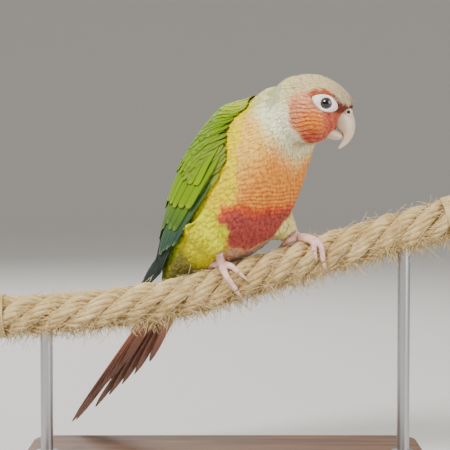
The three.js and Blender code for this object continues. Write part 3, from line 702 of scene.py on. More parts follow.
def plumage(points):
    """The colour of the plumage at points in millimetres."""
    head = to_head(points)
    share, signed, _ = trunk_place(points)
    degrees = abs(signed)
    wander = 2.5 * patchy(points, 9)
    share_wander = share + 0.008 * patchy(points, 5)
    orange_edge = interp(share, ORANGE_EDGE) + wander
    back = mix(GREEN, MANTLE, smoothstep(0.64, 0.72, share))
    band = mix(YELLOW, LIME, smoothstep(0.48, 0.42, share))
    breast = mix(ORANGE, PEACH, smoothstep(130, 95, degrees))
    rings = 0.8 * points[:, 2] + 0.28 * share * TRUNK_LENGTH + 0.35 * patchy(points, 15)
    bars = np.sin(rings * 2 * math.pi / BAR_SPACING)
    around = np.where(signed > 0, 360 - signed, -signed)
    red_top = interp(around, RED_TOP)
    red_low = interp(around, RED_LOW)
    depth = np.minimum(red_top - share_wander, share_wander - red_low + 0.05)
    belly = mix(EMBER, RED, smoothstep(0.0, 0.05, depth) * smoothstep(108, 124, degrees))
    colour = mix(back, band, smoothstep(-3, 3, degrees - interp(share, GREEN_EDGE) - wander))
    colour = mix(colour, breast, smoothstep(-4, 5, degrees - orange_edge))
    past_low = share_wander - red_low
    is_red = smoothstep(0.014, -0.014, share_wander - red_top) * smoothstep(-0.012, 0.012, past_low)
    colour = mix(colour, belly, is_red * smoothstep(-3, 4, degrees - np.minimum(orange_edge, 112)))
    # Painted shade: the lime darkens to olive brown towards the rump and turns tan on the underside
    vent_shaded = mix(LIME, VENT_IN_PAINTED_SHADE, smoothstep(0.26, 0.19, share + 0.0008 * (degrees - 130)))
    vent_shaded = mix(vent_shaded, UNDERSIDE_IN_PAINTED_SHADE, smoothstep(140, 150, degrees))
    colour = mix(colour, vent_shaded, smoothstep(0.012, -0.012, past_low) * smoothstep(90, 100, degrees))
    collar_edge = interp(degrees, COLLAR_EDGE)
    collar = mix(CREAM, COLLAR, smoothstep(0.0, 0.08, share - collar_edge))
    collar = mix(NAPE, collar, smoothstep(35, 65, degrees))
    streaky = share_wander + 0.022 * bars * smoothstep(60, 100, degrees)
    colour = mix(colour, collar, smoothstep(-0.035, 0.05, streaky - collar_edge))
    colour = mix(colour, YELLOW * 0.5 + COLLAR * 0.5, smoothstep(9, 6.5, by_far_thigh(points)))
    reach = np.linalg.norm(head, axis=1)
    return mix(colour, head_colour(head, points), smoothstep(*HEAD_EDGE, reach))


print("markings ready")

# %% [markdown]
# ## The skin
# Under the feathers the bird is one surface, so the solids of the head, neck, trunk and thighs are copied,
# swollen a little so that they meet, melted by a voxel remesh, smoothed, and drawn in by the
# depth of the coat. The bare edges of the face keep their full size.

# %% One skin
FLESH = ["head", "neck", "torso", "thigh_left", "thigh_right"]
EYE_PLACE = np.array([4.7, 3.1])
# The skin shows only between feathers, in their shade
SKIN_SHADE = 0.62


def coat_depth(points):
    """How deep the coat lies over the body: thin on the face, thick on the trunk."""
    head = to_head(points)
    reach = np.linalg.norm(head, axis=1)
    face = smoothstep(26, 14, reach) * smoothstep(-12, 2, head[:, 0])
    nape = smoothstep(14, 4, np.linalg.norm(head * [1, 0.6, 1] - [-21, 0, 9], axis=1))
    return 1.0 - 0.5 * face - 2.0 * nape


skin_mesh = refined(
    "skin", [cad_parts[n].data for n in FLESH], swell=0.3, voxel=0.8, rounds=10,
    inset=lambda points: 0.3 + coat_depth(points)
)
SKIN_POINTS = np.array([v.co[:] for v in skin_mesh.vertices]) / MM
SKIN_TREE = BVHTree.FromPolygons(SKIN_POINTS.tolist(), [p.vertices[:] for p in skin_mesh.polygons])
skin_colour = skin_mesh.attributes.new("plumage", "FLOAT_COLOR", "POINT")
under = plumage(SKIN_POINTS) * SKIN_SHADE
skin_colour.data.foreach_set("color", np.column_stack([under, np.ones(len(under))]).ravel())
skin_mesh.uv_layers.new(name="Feather")
finish_piece("skin", skin_mesh, CONTOUR_KERATIN, FLESH)

# %% [markdown]
# ## Bill, eyes and bare face
# The bill is two lofts through the same outlines as the solids, with many more sections. The eye is a smooth
# wet ball with a dark brown iris, and the ring round it is bare, white and finely creased.

# %% Bill
UPPER_BILL = np.array(
    [
        [11, 3.2, 8.8, -6, 5.6],
        [15.2, 1.4, 9.8, -7.4, 5.4],
        [17.6, -2.4, 11.2, -8.6, 4.7],
        [18.3, -6.6, 12.6, -9.8, 3.8],
        [17.6, -10.8, 12.9, -11.4, 2.6],
        [15.2, -14.6, 12.6, -13.4, 1.4],
        [11.6, -17.4, 11, -16.9, 0.35],
    ]
)
LOWER_BILL = np.array(
    [
        [5.5, -7, 5, -12, 4.6],
        [8.2, -7.8, 7.6, -12.8, 4.4],
        [10.8, -8.8, 10.4, -13, 3.6],
        [13, -10.6, 13, -12.2, 1.8],
    ]
)


def horn_sheath(outline, keel, grow=0.0):
    """A place function for one half of the bill. keel narrows it to a soft ridge on top."""

    def place(angle, share):
        top = smooth_row(outline[:, :2], share)
        low = smooth_row(outline[:, 2:4], share)
        width = smooth_row(outline[:, 4:], share)[:, 0] + grow
        middle = (top + low) / 2
        half = np.linalg.norm(top - low, axis=1) / 2 + grow
        across = unit(top - low)
        cap = np.where((share < 1e-6) | (share > 1 - 1e-6), 0.0, 1.0)
        c = cap * half * np.cos(angle)
        l = cap * width * np.sin(angle) * (1 - keel * np.maximum(np.cos(angle), 0) ** 2)
        return in_head(np.column_stack([middle[:, 0] + across[:, 0] * c, l, middle[:, 1] + across[:, 1] * c]))

    return place


cutter = bpy.data.objects.new("cutter", lofted("cutter", [(24, 20, horn_sheath(LOWER_BILL, 0, 0.12))]))
bpy.context.scene.collection.objects.link(cutter)
upper_mesh = lofted("bill_upper_horn", [(40, 48, horn_sheath(UPPER_BILL, 0.22))])
cut = {"operation": "DIFFERENCE", "object": cutter, "solver": "EXACT"}
upper_mesh = applied(upper_mesh, ("BOOLEAN", cut))
bpy.data.objects.remove(cutter)
finish_piece("bill_upper_horn", upper_mesh, BILL_HORN, ["bill_upper"])
lower_mesh = lofted("bill_lower_horn", [(32, 30, horn_sheath(LOWER_BILL, 0))])
finish_piece("bill_lower_horn", lower_mesh, BILL_HORN, ["bill_lower"])
BILL_TREES = [
    BVHTree.FromPolygons([v.co / MM for v in m.vertices], [p.vertices[:] for p in m.polygons])
    for m in (upper_mesh, lower_mesh)
]

# %% Eyes and their rings
EYE_RADIUS = 3.3
EYE_SIDE = 11.7
RING_INNER = 2.5
RING_FRONT = 5.6
RING_REAR = 6.9
RING_RISE = 3.8
RING_SIDE = 14.1
RING_THICK = 0.78
RING_TILT = math.radians(20)


def wet_eye():
    """A wet cornea over a dark brown iris. The pupil is where the ball faces outwards."""
    looks = {"Roughness": 0.05, "IOR": 1.376, "Coat_Weight": 1.0, "Coat_Roughness": 0.02}
    material, tree, surface = new_material("wet_dark_eye", **looks)
    turned = add_node(tree, "Attribute", {}, "Fac", attribute_name="pupil")
    tone = two_tone(tree, spread(tree, turned, 0.50, 0.58), rgba("#050506"), rgba("#3a2c28"))
    tree.links.new(tone, surface.inputs["Base Color"])
    return material


EYE_GLASS = wet_eye()
for side, name in ((1, "left"), (-1, "right")):
    centre = in_head([[EYE_PLACE[0], side * EYE_SIDE, EYE_PLACE[1]]])[0]
    bm = bmesh.new()
    bmesh.ops.create_icosphere(bm, subdivisions=4, radius=EYE_RADIUS * MM)
    bmesh.ops.translate(bm, verts=bm.verts[:], vec=Vector(centre * MM))
    mesh = mesh_of(bm, f"eye_ball_{name}")
    look = HEAD_TURN @ np.array([0.0, side, 0.0])
    reach = [math.acos(min(1, v.normal.dot(Vector(look)))) for v in mesh.vertices]
    mesh.attributes.new("pupil", "FLOAT", "POINT").data.foreach_set("value", reach)
    finish_piece(f"eye_ball_{name}", mesh, EYE_GLASS, [f"eye_{name}"])

    def ring_place(angle, share, side=side):
        turn = share * 2 * math.pi
        out = 0.5 + 0.5 * np.cos(turn)
        x = np.cos(angle)
        y = np.sin(angle)
        long = (RING_INNER + (np.where(x > 0, RING_FRONT, RING_REAR) - RING_INNER) * out) * x
        narrowing = 1 - out * np.where(x > 0, 0.2, 0.38) * x * x
        high = (RING_INNER + (RING_RISE - RING_INNER) * out) * y * narrowing
        f = long * math.cos(RING_TILT) + high * math.sin(RING_TILT)
        u = high * math.cos(RING_TILT) - long * math.sin(RING_TILT)
        crease = 0.07 * np.sin(angle * 34) * np.cos(turn / 2) ** 2
        crease = crease + 0.06 * np.sin(turn * 5 + 2 * np.sin(3 * angle))
        z = np.sin(turn) * RING_THICK + np.where(np.sin(turn) > 0, crease, 0)
        lean = 0.14 * f + 0.02 * f * f + 0.05 * np.maximum(f, 0) * f + 0.03 * u * u
        return in_head(np.column_stack([EYE_PLACE[0] + f, side * (RING_SIDE + z - lean), EYE_PLACE[1] + u]))

    finish_piece(f"eye_ring_{name}", lofted(f"eye_ring_{name}", [(144, 28, ring_place)]), RING_SKIN)

# %% Cere with its nostrils
NOSTRIL = np.array([15.2, 3.7, -0.5])
CERE_RADIUS = 2.6
PIT_DEPTH = 0.75
PIT_RADIUS = 0.8


def by_nostril(side, forward, out, up):
    """A place in the head beside one nostril."""
    return np.array([NOSTRIL[0] + forward, side * (NOSTRIL[1] + out), NOSTRIL[2] + up])


bm = bmesh.new()
for side in (1, -1):
    swelling = bmesh.ops.create_icosphere(bm, subdivisions=5, radius=CERE_RADIUS)["verts"]
    middle = by_nostril(side, -1.2, -1.0, 0.3)
    pit = by_nostril(side, -0.2, 1.4, 0.6)
    for vert in swelling:
        place = middle + np.array(vert.co[:])
        depth = float(smoothstep(1.15, 0.6, np.linalg.norm(place - pit)))
        place = place + (middle - place) * PIT_DEPTH * depth
        vert.co = Vector(in_head(place[None])[0] * MM)
bmesh.ops.recalc_face_normals(bm, faces=bm.faces[:])
finish_piece("cere", mesh_of(bm, "cere"), CERE_SKIN)
# Painted shade: a dark ball in each nostril pit stands for the shade inside the opening
bm = bmesh.new()
for side in (1, -1):
    dark = bmesh.ops.create_icosphere(bm, subdivisions=3, radius=PIT_RADIUS)["verts"]
    middle = by_nostril(side, -0.3, 0.75, 0.55)
    for vert in dark:
        vert.co = Vector(in_head((middle + np.array(vert.co[:]))[None])[0] * MM)
nostril_hole_shade, _, _ = new_material("painted_nostril_hole_shade", Roughness=0.7, Base_Color=rgba("#1c1210"))
finish_piece("nostril_pits", mesh_of(bm, "nostril_pits"), nostril_hole_shade)

# %% [markdown]
# ## The coat
# Body feathers overlap like tiles: each is rooted in the skin, lifts a little, and lies towards the tail.
# Roots are scattered evenly at random, closer on the face, by keeping each candidate only where no
# kept one is near. Every vane then follows the skin step by step.

# %% Scatter the roots
# The folded wing's front edge: share along the trunk and degrees from the back
WING_FRONT = [(0.3, 90), (0.41, 92), (0.5, 90), (0.58, 87), (0.64, 82), (0.67, 66)]
WING_FRONT += [(0.7, 54), (0.76, 46), (0.9, 40)]


def lie(points):
    """The direction in which feathers lie at points: back from the bill on the head, then to the tail."""
    head = to_head(points)
    _, _, down = trunk_place(points)
    back = unit(HEAD_TURN @ np.array([-1.0, 0, -0.25]))
    reach = np.linalg.norm(head, axis=1)
    on_head = smoothstep(26, 13, reach) * smoothstep(-16, -4, head[:, 0])
    return unit(mix(down, back[None], on_head))


def spacing(points):
    """How far apart roots are: about 1.65 mm on the trunk and down to 0.7 mm by the bill."""
    head = to_head(points)
    reach = np.linalg.norm(head, axis=1)
    wide = 1.05 + 0.6 * smoothstep(16, 30, reach)
    return wide - 0.35 * smoothstep(-2, 8, head[:, 0]) * smoothstep(24, 18, reach)


def bare(points):
    """True where nothing grows: the eye's ring, the cere, and all that lies against bill, wing or rope."""
    head = to_head(points)
    f = head[:, 0] - EYE_PLACE[0]
    u = head[:, 2] - EYE_PLACE[1]
    long = f * math.cos(RING_TILT) - u * math.sin(RING_TILT)
    high = u * math.cos(RING_TILT) + f * math.sin(RING_TILT)
    ring = (long / np.where(long > 0, RING_FRONT, RING_REAR)) ** 2 + (high / RING_RISE) ** 2
    in_ring = (ring < 0.66) & (abs(head[:, 1]) > 8)
    cere = np.linalg.norm(head * [1, 0.75, 1] - [14.2, 0, -0.6], axis=1) < 4.6
    near_bill = np.zeros(len(points), bool)
    for i in np.flatnonzero(np.linalg.norm(head - [10, 0, -6], axis=1) < 17):
        near_bill[i] = min(tree.find_nearest(points[i].tolist())[3] for tree in BILL_TREES) < 0.4
    middle, _, along = rope_frame(points[:, 0])
    away = points - middle
    distance = np.linalg.norm(away - along * (away * along).sum(axis=1, keepdims=True), axis=1)
    share, degrees, _ = trunk_place(points)
    degrees = abs(degrees)
    wing = (share > 0.15) & (share < 0.76) & (degrees > 20) & (degrees < interp(share, WING_FRONT) - 20)
    return in_ring | cere | near_bill | (distance < ROPE_RADIUS + 2.2) | wing


def thinned(points, gaps):
    """Which points to keep, so that none lies within the gap round one kept before it."""
    tree = KDTree(len(points))
    for i, point in enumerate(points.tolist()):
        tree.insert(point, i)
    tree.balance()
    free = np.ones(len(points), bool)
    kept = []
    for i, point in enumerate(points.tolist()):
        if free[i]:
            kept.append(i)
            for _, j, _ in tree.find_range(point, gaps[i]):
                free[j] = False
    return kept


TRIES = 120000
# The smallest gap between two roots, as a share of their spacing
CLOSEST = 0.86


def scatter(tries):
    """Even random roots on the skin with their normals."""
    skin_mesh.calc_loop_triangles()
    faces = np.array([t.vertices[:] for t in skin_mesh.loop_triangles])
    corners = SKIN_POINTS[faces]
    cross = np.cross(corners[:, 1] - corners[:, 0], corners[:, 2] - corners[:, 0])
    centres = corners.mean(axis=1)
    odds = np.linalg.norm(cross, axis=1) / spacing(centres) ** 2
    chosen = rng.choice(len(faces), tries, p=odds / odds.sum())
    weights = rng.dirichlet((1, 1, 1), tries)
    points = (corners[chosen] * weights[..., None]).sum(axis=1)
    keep = ~bare(points)
    points = points[keep]
    normals = unit(cross[chosen][keep])
    kept = thinned(points, spacing(points) * CLOSEST)
    return points[kept], normals[kept]


roots, root_normals = scatter(TRIES)
print("feather roots:", len(roots))

# %% Lay the vanes along the skin
def follow(roots, normals, length, rows, lift):
    """Rows of places and normals from each root along the lie of the coat, held to the skin."""
    centre = [roots]
    up_rows = [normals]
    swing = rng.normal(0, 0.12, len(roots))
    at = roots
    normal = normals
    for _ in range(rows):
        ahead = lie(at)
        ahead = unit(ahead - normal * (ahead * normal).sum(axis=1, keepdims=True))
        ahead = unit(ahead + np.cross(normal, ahead) * swing[:, None])
        goal = at + ahead * (length / rows)[:, None]
        found = [SKIN_TREE.find_nearest(p) for p in goal.tolist()]
        at = np.array([hit[0][:] for hit in found])
        normal = np.array([hit[1][:] for hit in found])
        normal = unit(normal + up_rows[-1])
        centre.append(at)
        up_rows.append(normal)
    centre = np.stack(centre, axis=1)
    up_rows = np.stack(up_rows, axis=1)
    far = np.linspace(0, 1, rows + 1)
    height = -0.25 + (lift[:, None] + 0.25) * far**0.8
    return centre + up_rows * height[..., None], up_rows


def unwrap(points):
    """Where points lie on an unwrap of the body: degrees round it and share along it, with the head above."""
    share, degrees, _ = trunk_place(points)
    head = to_head(points)
    on_head = smoothstep(24, 22, np.linalg.norm(head, axis=1)) > 0.5
    around = np.degrees(np.arctan2(head[:, 1], head[:, 2]))
    trunk = np.column_stack([0.02 + (degrees / 360 + 0.5) * 0.95, 0.02 + share * 0.6])
    skull = np.column_stack([0.02 + (around / 360 + 0.5) * 0.95, 0.68 + (head[:, 0] + 22) / 44 * 0.29])
    return np.where(on_head[:, None], skull, trunk)


ROUND_TIP = np.array([0.6, 0.9, 1.0, 0.95, 0.7, 0.25])
SLIM_TIP = np.array([0.6, 0.95, 1.0, 0.8, 0.25])
MOST_VANES = 1600


def coat_piece(name, chosen, columns, profile, sizes, fray):
    """One region of the coat. sizes gives a feather's length, its half width and how far its tip lifts."""
    found = np.flatnonzero(chosen)
    for number, part in enumerate(np.array_split(found, max(1, math.ceil(len(found) / MOST_VANES)))):
        base = roots[part]
        count = len(base)
        length, width, lift = (np.ones(count) * value for value in sizes(base))
        lift = lift * rng.uniform(0.75, 1.25, count)
        size = length * rng.normal(1, 0.08, count)
        centre, up_rows = follow(base, root_normals[part], size, len(profile) - 1, lift)
        half = (width * rng.normal(1, 0.07, count))[:, None] * profile[None]
        tone = plumage(centre.reshape(-1, 3)).reshape(centre.shape)
        tone = tone * (1 + rng.normal(0, 0.04, (count, 1, 1)) + rng.normal(0, 0.02, (count, 1, 3)))
        # Painted shade: each vane is darker at its root, where the feathers over it shade it
        shade = 0.9 + 0.14 * np.linspace(0, 1, len(profile))
        # The alpha carries the bars: on the breast, darker edges and painted shadow under the tips
        bars = bar_weight(centre.reshape(-1, 3)).reshape(centre.shape[:2])
        colours = np.concatenate([np.clip(tone * shade[None, :, None], 0, 1), 1 - bars[..., None]], axis=2)
        shape = vane(columns, len(profile) - 1)
        piece = f"{name}_{number + 1}"
        mesh = plumes(piece, shape, (centre, up_rows, half, colours), 0.07, unwrap(base), 0.05, fray)
        finish_piece(piece, mesh, CONTOUR_KERATIN)


share, degrees, _ = trunk_place(roots)
degrees = abs(degrees)
reach = np.linalg.norm(to_head(roots), axis=1)
is_head = reach < 22
is_neck = ~is_head & (share > 0.78)
is_thigh = np.zeros(len(roots), bool)
for node in ("thigh_left", "thigh_right"):
    low, high = (np.array(corner[:]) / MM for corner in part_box(node))
    outside = ((roots < low) | (roots > high)).any(axis=1)
    is_thigh |= ~outside & (roots[:, 2] < 124)
is_back = ~is_head & ~is_neck & ~is_thigh & (degrees < 75)
is_breast = ~is_head & ~is_neck & ~is_thigh & ~is_back & (share > 0.6)
is_belly = ~is_head & ~is_neck & ~is_thigh & ~is_back & ~is_breast


def head_sizes(points):
    """Full size on the back of the head, falling to half by the bill."""
    size = 1 - 0.5 * smoothstep(-6, 12, to_head(points)[:, 0])
    return 4.2 * size, 0.85 * size + 0.12, 0.05 + 0.4 * coat_depth(points)


coat_piece("coat_head", is_head, 3, SLIM_TIP, head_sizes, 0.12)
for name, chosen, slot, sizes in (
    ("coat_neck", is_neck, "crown_feathers", (5.6, 1.3, 0.35)),
    ("coat_back", is_back, "wing_feathers", (7.0, 1.7, 0.5)),
    ("coat_breast", is_breast, "breast_feathers", (6.4, 1.5, 0.35)),
    ("coat_belly", is_belly, "breast_feathers", (7.0, 1.7, 0.4)),
    ("coat_thighs", is_thigh, "thigh_feathers", (7.5, 1.4, 0.6)),
):
    coat_piece(name, chosen, 4, ROUND_TIP, lambda points, sizes=sizes: sizes, 0.14)

# %% [markdown]
# ## Wings
# A folded wing is tiers of stiff feathers, each tier lying over the next. The flight feathers are at
# the bottom and reach the tail, and rows of coverts cover their roots. Within a tier the feather nearer
# the back lies on top. Each tier is a row of vanes between a first and a last place on the trunk's
# own guide.

# %% Wing tiers
PRIMARY = {"width": 5.8, "bend": 2.0, "tip": "#2c3034", "base": "#35473a", "edge": "#66745c"}
PRIMARY_COVERT = {"width": 5.0, "bend": 1.0, "tip": "#2e4848", "base": "#4a6a30", "edge": "#6c8c4c"}
SECONDARY = {"width": 7.4, "bend": 1.0, "tip": "#44642c", "base": "#66860c", "edge": "#74902c"}
GREATER = {"width": 7.6, "bend": 1.0, "tip": "#74940a", "base": "#6a8a06", "edge": "#90a81a"}
MEDIAN = {"width": 7.0, "bend": 1.0, "tip": "#7a9a0a", "base": "#6e8e06", "edge": "#94ac1c"}
# Each tier: its kind, how many feathers, first and last root, first and last tip, and heights.
# Places are share along the trunk and degrees from the back, from the front edge to the back.
TIERS = [
    [PRIMARY, 10, (0.46, 84), (0.36, 46), (-0.17, 47), (0.02, 24), (1.5, 2.4)],
    [PRIMARY_COVERT, 6, (0.52, 86), (0.42, 62), (0.25, 88), (0.14, 66), (2.2, 2.5)],
    [SECONDARY, 10, (0.54, 78), (0.4, 12), (0.31, 79), (0.1, 14), (2.5, 3.0)],
    [GREATER, 10, (0.61, 75), (0.54, 12), (0.41, 83), (0.24, 11), (3.1, 3.5)],
    [MEDIAN, 10, (0.64, 66), (0.62, 13), (0.5, 78), (0.38, 12), (3.3, 3.8)],
]
FLIGHT_ROWS = 16
FLIGHT_VANE = vane(8, FLIGHT_ROWS)


def flight_profile(root):
    """Half width along a flight feather: narrow at the quill, full, and rounded at the tip."""
    far = np.linspace(0, 1, FLIGHT_ROWS + 1)
    return np.minimum(root + 2.5 * far, 1) * np.sqrt(np.clip(1 - far**7, 0.02, 1))


def between(ends, place):
    return ends[0] + (ends[1] - ends[0]) * place


def wing_tier(side, kind, count, roots_at, tips_at, rises):
    """Places, normals, half widths and colours of one tier."""
    place = np.linspace(0, 1, count)[:, None]
    far = 1 - (1 - np.linspace(0, 1, FLIGHT_ROWS + 1)[None]) ** 1.3
    reach = rng.normal(0, 0.008, (count, 1))
    turn = rng.normal(0, 0.8, (count, 1))
    root_share, root_degrees = (between(ends, place) for ends in zip(*roots_at))
    tip_share, tip_degrees = (between(ends, place) for ends in zip(*tips_at))
    share = between((root_share, tip_share + reach), far)
    degrees = between((root_degrees, tip_degrees + turn), far ** kind["bend"])
    rise = np.maximum(between(rises, place) + 0.7 - 2.2 * (1 - far) ** 2, 1.0)
    centre = on_guide(side * degrees, share, rise)
    normal = unit(on_guide(side * degrees, share, rise + 1) - centre)
    half = np.repeat(flight_profile(0.6)[None] * kind["width"] / 2, count, axis=0)
    base = linear(kind["base"])
    tip = linear(kind["tip"])
    tone = mix(base[None, None], tip[None, None], np.repeat(far, count, axis=0) ** 1.5)
    tone = tone * (1 + rng.normal(0, 0.05, (count, 1, 1)))
    edge = linear(kind["edge"])
    tone = mix(tone, edge[None, None], 0.7 * smoothstep(0.88, 1.0, np.repeat(far, count, axis=0)))
    tone = tone * (1 + 0.35 * smoothstep(50, 15, degrees))[..., None]
    return centre, normal, half, tone


# %% Small coverts and mantle
COVERT_ROWS = 7
COVERT_PROFILE = np.array([0.5, 0.85, 1.0, 1.0, 0.95, 0.8, 0.55, 0.2])
COVERT_LENGTH = 7.0
COVERT_GAP = 1.9
COVERT_TRIES = 9000


def blanket(side):
    """Places, normals, half widths and colours of the small feathers on shoulder and upper back."""
    share = rng.uniform(0.51, 0.79, COVERT_TRIES)
    degrees = rng.uniform(0, 1, len(share)) * (interp(share, WING_FRONT) - 2)
    flat = on_guide(side * degrees, share, 2.0)
    kept = thinned(flat, np.full(len(flat), COVERT_GAP))
    count = len(kept)
    far = np.linspace(0, 1, COVERT_ROWS + 1)[None]
    length = COVERT_LENGTH * rng.normal(1, 0.07, (count, 1)) / TRUNK_LENGTH
    share = share[kept][:, None] - length * far
    degrees = degrees[kept][:, None] + rng.normal(0, 1.6, (count, 1)) * far
    front = interp(share.ravel(), WING_FRONT).reshape(share.shape)
    on_wing = smoothstep(3, 15, degrees) * smoothstep(0.78, 0.66, share) * smoothstep(2, -24, degrees - front)
    rise = 0.1 + 0.5 * far + 3.7 * on_wing + rng.uniform(0, 0.25, (count, 1)) * far
    centre = on_guide(side * degrees, share, rise)
    normal = unit(on_guide(side * degrees, share, rise + 1) - centre)
    half = np.repeat(COVERT_PROFILE[None] * 1.75, count, axis=0)
    tone = mix(WING_LIME, GREEN, smoothstep(14, 40, degrees))
    tone = mix(tone, linear("#7f8f34")[None, None], smoothstep(52, 80, degrees))
    tone = mix(tone, MANTLE, smoothstep(0.66, 0.74, share) * smoothstep(50, 34, degrees))
    # Random tone per covert, and painted shade that darkens each covert towards its root
    tone = tone * (1 + rng.normal(0, 0.05, (count, 1, 1))) * (0.84 + 0.22 * far[..., None])
    return centre, normal, half, tone


for side, name in ((1, "left"), (-1, "right")):
    tiers = [wing_tier(side, kind, count, (a, b), (c, d), rise) for kind, count, a, b, c, d, rise in TIERS]
    rows_of = [np.concatenate(rows) for rows in zip(*tiers)]
    lean = 0.32 * side
    mesh = plumes(f"wing_feathers_{name}", FLIGHT_VANE, rows_of, 0.25, fray=0.016, camber=0.1, tilt=lean)
    finish_piece(f"wing_feathers_{name}", mesh, FLIGHT_KERATIN, [f"wing_{name}"])
    rows_of = blanket(side)
    rooted = unwrap(rows_of[0][:, 0])
    mesh = plumes(f"coat_shoulder_{name}", vane(4, COVERT_ROWS), rows_of, 0.12, rooted, fray=0.1)
    finish_piece(f"coat_shoulder_{name}", mesh, CONTOUR_KERATIN)

# %% [markdown]
# ## Tail
# Twelve long feathers lie under each other like a half-closed fan. The middle pair is on top and longest.

# %% Tail feathers
TAIL_WIDTH = 13
TAIL_DROP = 7
TAIL_LENGTHS = [0.985, 0.87, 0.77, 0.69, 0.6, 0.5]
TAIL_ROOT = in_body(-36.5, 0, -36)
TAIL_TIP = in_body(-109, 0, -118)
TAIL_LINE = unit(TAIL_TIP - TAIL_ROOT)
TAIL_BACK = unit(np.cross(LEFT, TAIL_LINE))


def by_tail(share, l, rise):
    drop = TAIL_DROP * (abs(l) / TAIL_WIDTH) ** 1.5
    line = TAIL_ROOT + share[..., None] * (TAIL_TIP - TAIL_ROOT)
    return line + l[..., None] * LEFT + (rise - drop)[..., None] * TAIL_BACK


tail_rows = []
for side in (1, -1):
    for pair, length in enumerate(TAIL_LENGTHS):
        far = np.linspace(0, 1, FLIGHT_ROWS + 1)
        level = (0 if side > 0 else 1) if pair == 0 else pair + 1
        inner = -1.4 if pair == 0 else 0.3
        middle = side * (3.5 + inner + pair * (0.3 + 1.05 * far))
        rise = -level * 0.95 * (0.45 + 0.55 * far)
        centre = by_tail(far * (length + rng.normal(0, 0.004)), middle, rise)
        normal = unit(by_tail(far * length, middle, rise + 1) - centre)
        half = flight_profile(0.4) * 3.4
        tone = mix(linear("#80703a")[None], TAIL_RED, smoothstep(0.1, 0.3, far))
        tone = mix(tone, TAIL_BROWN, smoothstep(0.5, 1, far)) * (1 + rng.normal(0, 0.05))
        tail_rows.append((centre, normal, half, tone))
rows_of = [np.stack(rows) for rows in zip(*tail_rows)]
mesh = plumes("tail_feathers", FLIGHT_VANE, rows_of, 0.3, camber=0.06, fray=0.014)
finish_piece("tail_feathers", mesh, FLIGHT_KERATIN, ["tail"])

# %% Tail coverts
COVERTS = 64
place = rng.uniform(-1, 1, COVERTS)
under = np.arange(COVERTS) % 2
start = rng.uniform(-0.12, 0.16, COVERTS)
far = np.linspace(0, 1, FLIGHT_ROWS + 1)[None]
length = rng.uniform(0.16, 0.26, COVERTS)[:, None]
l = (place * (8.5 - 10 * np.maximum(start, 0)))[:, None] * (1 - 0.25 * far)
height = np.where(under == 1, -5.6, 2.4)[:, None] * np.sqrt(1 - 0.6 * place[:, None] ** 2) * (1 - 0.45 * far)
centre = by_tail(start[:, None] + length * far, l, height)
outwards = np.where(under == 1, -1, 1)[:, None, None]
normal = unit(by_tail(start[:, None] + length * far, l, height + 1) - centre) * outwards
half = flight_profile(0.6) * 3.0 + 0 * l
# Painted shade: the under coverts are olive brown, darker than the upper ones, as they lie in shade under the
# tail
tone = np.where(under[:, None] == 1, linear("#8a7c34")[None], linear("#748a22")[None])
tone = np.repeat((tone * rng.normal(1, 0.08, (COVERTS, 1)))[:, None], FLIGHT_ROWS + 1, axis=1)
mesh = plumes("tail_coverts", vane(5, FLIGHT_ROWS), (centre, normal, half, tone), 0.2, camber=0.15, fray=0.05)
finish_piece("tail_coverts", mesh, CONTOUR_KERATIN)

# %% [markdown]
# ## Feet
# Parrots have two toes in front of the perch and two behind. Each toe is a loft along the rope, ringed with
# scutes on top and swollen into pads under its joints. The claws run on over the rope.

# %% Feet and claws
FEET = {
    "right": {
        "stand": (1.2, 26),
        "ankle": in_body(2.2, -16.4, -23.5),
        "toes": [
            [(1.2, 34), (2.2, 70), (4.4, 110)],
            [(2.2, 28), (5.4, 43), (8, 68)],
            [(-0.2, 16), (-3.4, -16), (-6.5, -60)],
            [(1, 14), (1, -30), (1, -78)],
        ],
    },
    "left": {
        "stand": (38.6, -1),
        "ankle": in_body(22.5, 14, -16),
        "toes": [
            [(40.5, 8), (46.6, 56), (45.8, 108)],
            [(40, 10), (44, 48), (43.4, 74)],
            [(37.4, 2), (33.5, -6), (29.5, -40)],
            [(38.4, -4), (38, -40), (37.5, -86)],
        ],
    },
}
TOE_DRAWN = 0.4
SCUTE = 1.15


def limb(points, radii, scutes):
    """A place function for a round limb through points, with raised rings along its upper side."""
    points = np.asarray(points)
    radii = np.asarray(radii, float)[:, None]
    length = np.linalg.norm(np.diff(points, axis=0), axis=1).sum()

    def place(angle, share):
        middle = smooth_row(points, share)
        along = unit(smooth_row(points, share + 1e-3) - smooth_row(points, share - 1e-3))
        rope_middle, _, rope_along = rope_frame(middle[:, 0])
        out = middle - rope_middle
        out = unit(out - rope_along * (out * rope_along).sum(axis=1, keepdims=True))
        side = unit(np.cross(along, out))
        out = np.cross(side, along)
        ring = np.abs(np.sin(share * length / SCUTE * math.pi))
        top = np.maximum(np.cos(angle), 0)
        pad = np.maximum(-np.cos(angle), 0) * np.maximum(np.sin(share * 3.2 * math.pi), 0)
        r = smooth_row(radii, share)[:, 0] * (1 + scutes * top * (ring**0.5 - 0.5) + 0.12 * scutes * 8 * pad)
        cap = np.sqrt(np.clip(np.minimum(share, 1 - share) / 0.04, 0, 1))
        r = r * cap
        return middle + out * (r * np.cos(angle))[:, None] + side * (r * np.sin(angle))[:, None]

    return place


CLAW_TURNS = np.array([0, 9, 16, 23, 28.5])
CLAW_LIFT = np.array([1.3, 1.9, 1.95, 1.5, 0.75])
CLAW_RADIUS = [1.0, 0.88, 0.7, 0.42, 0.1]

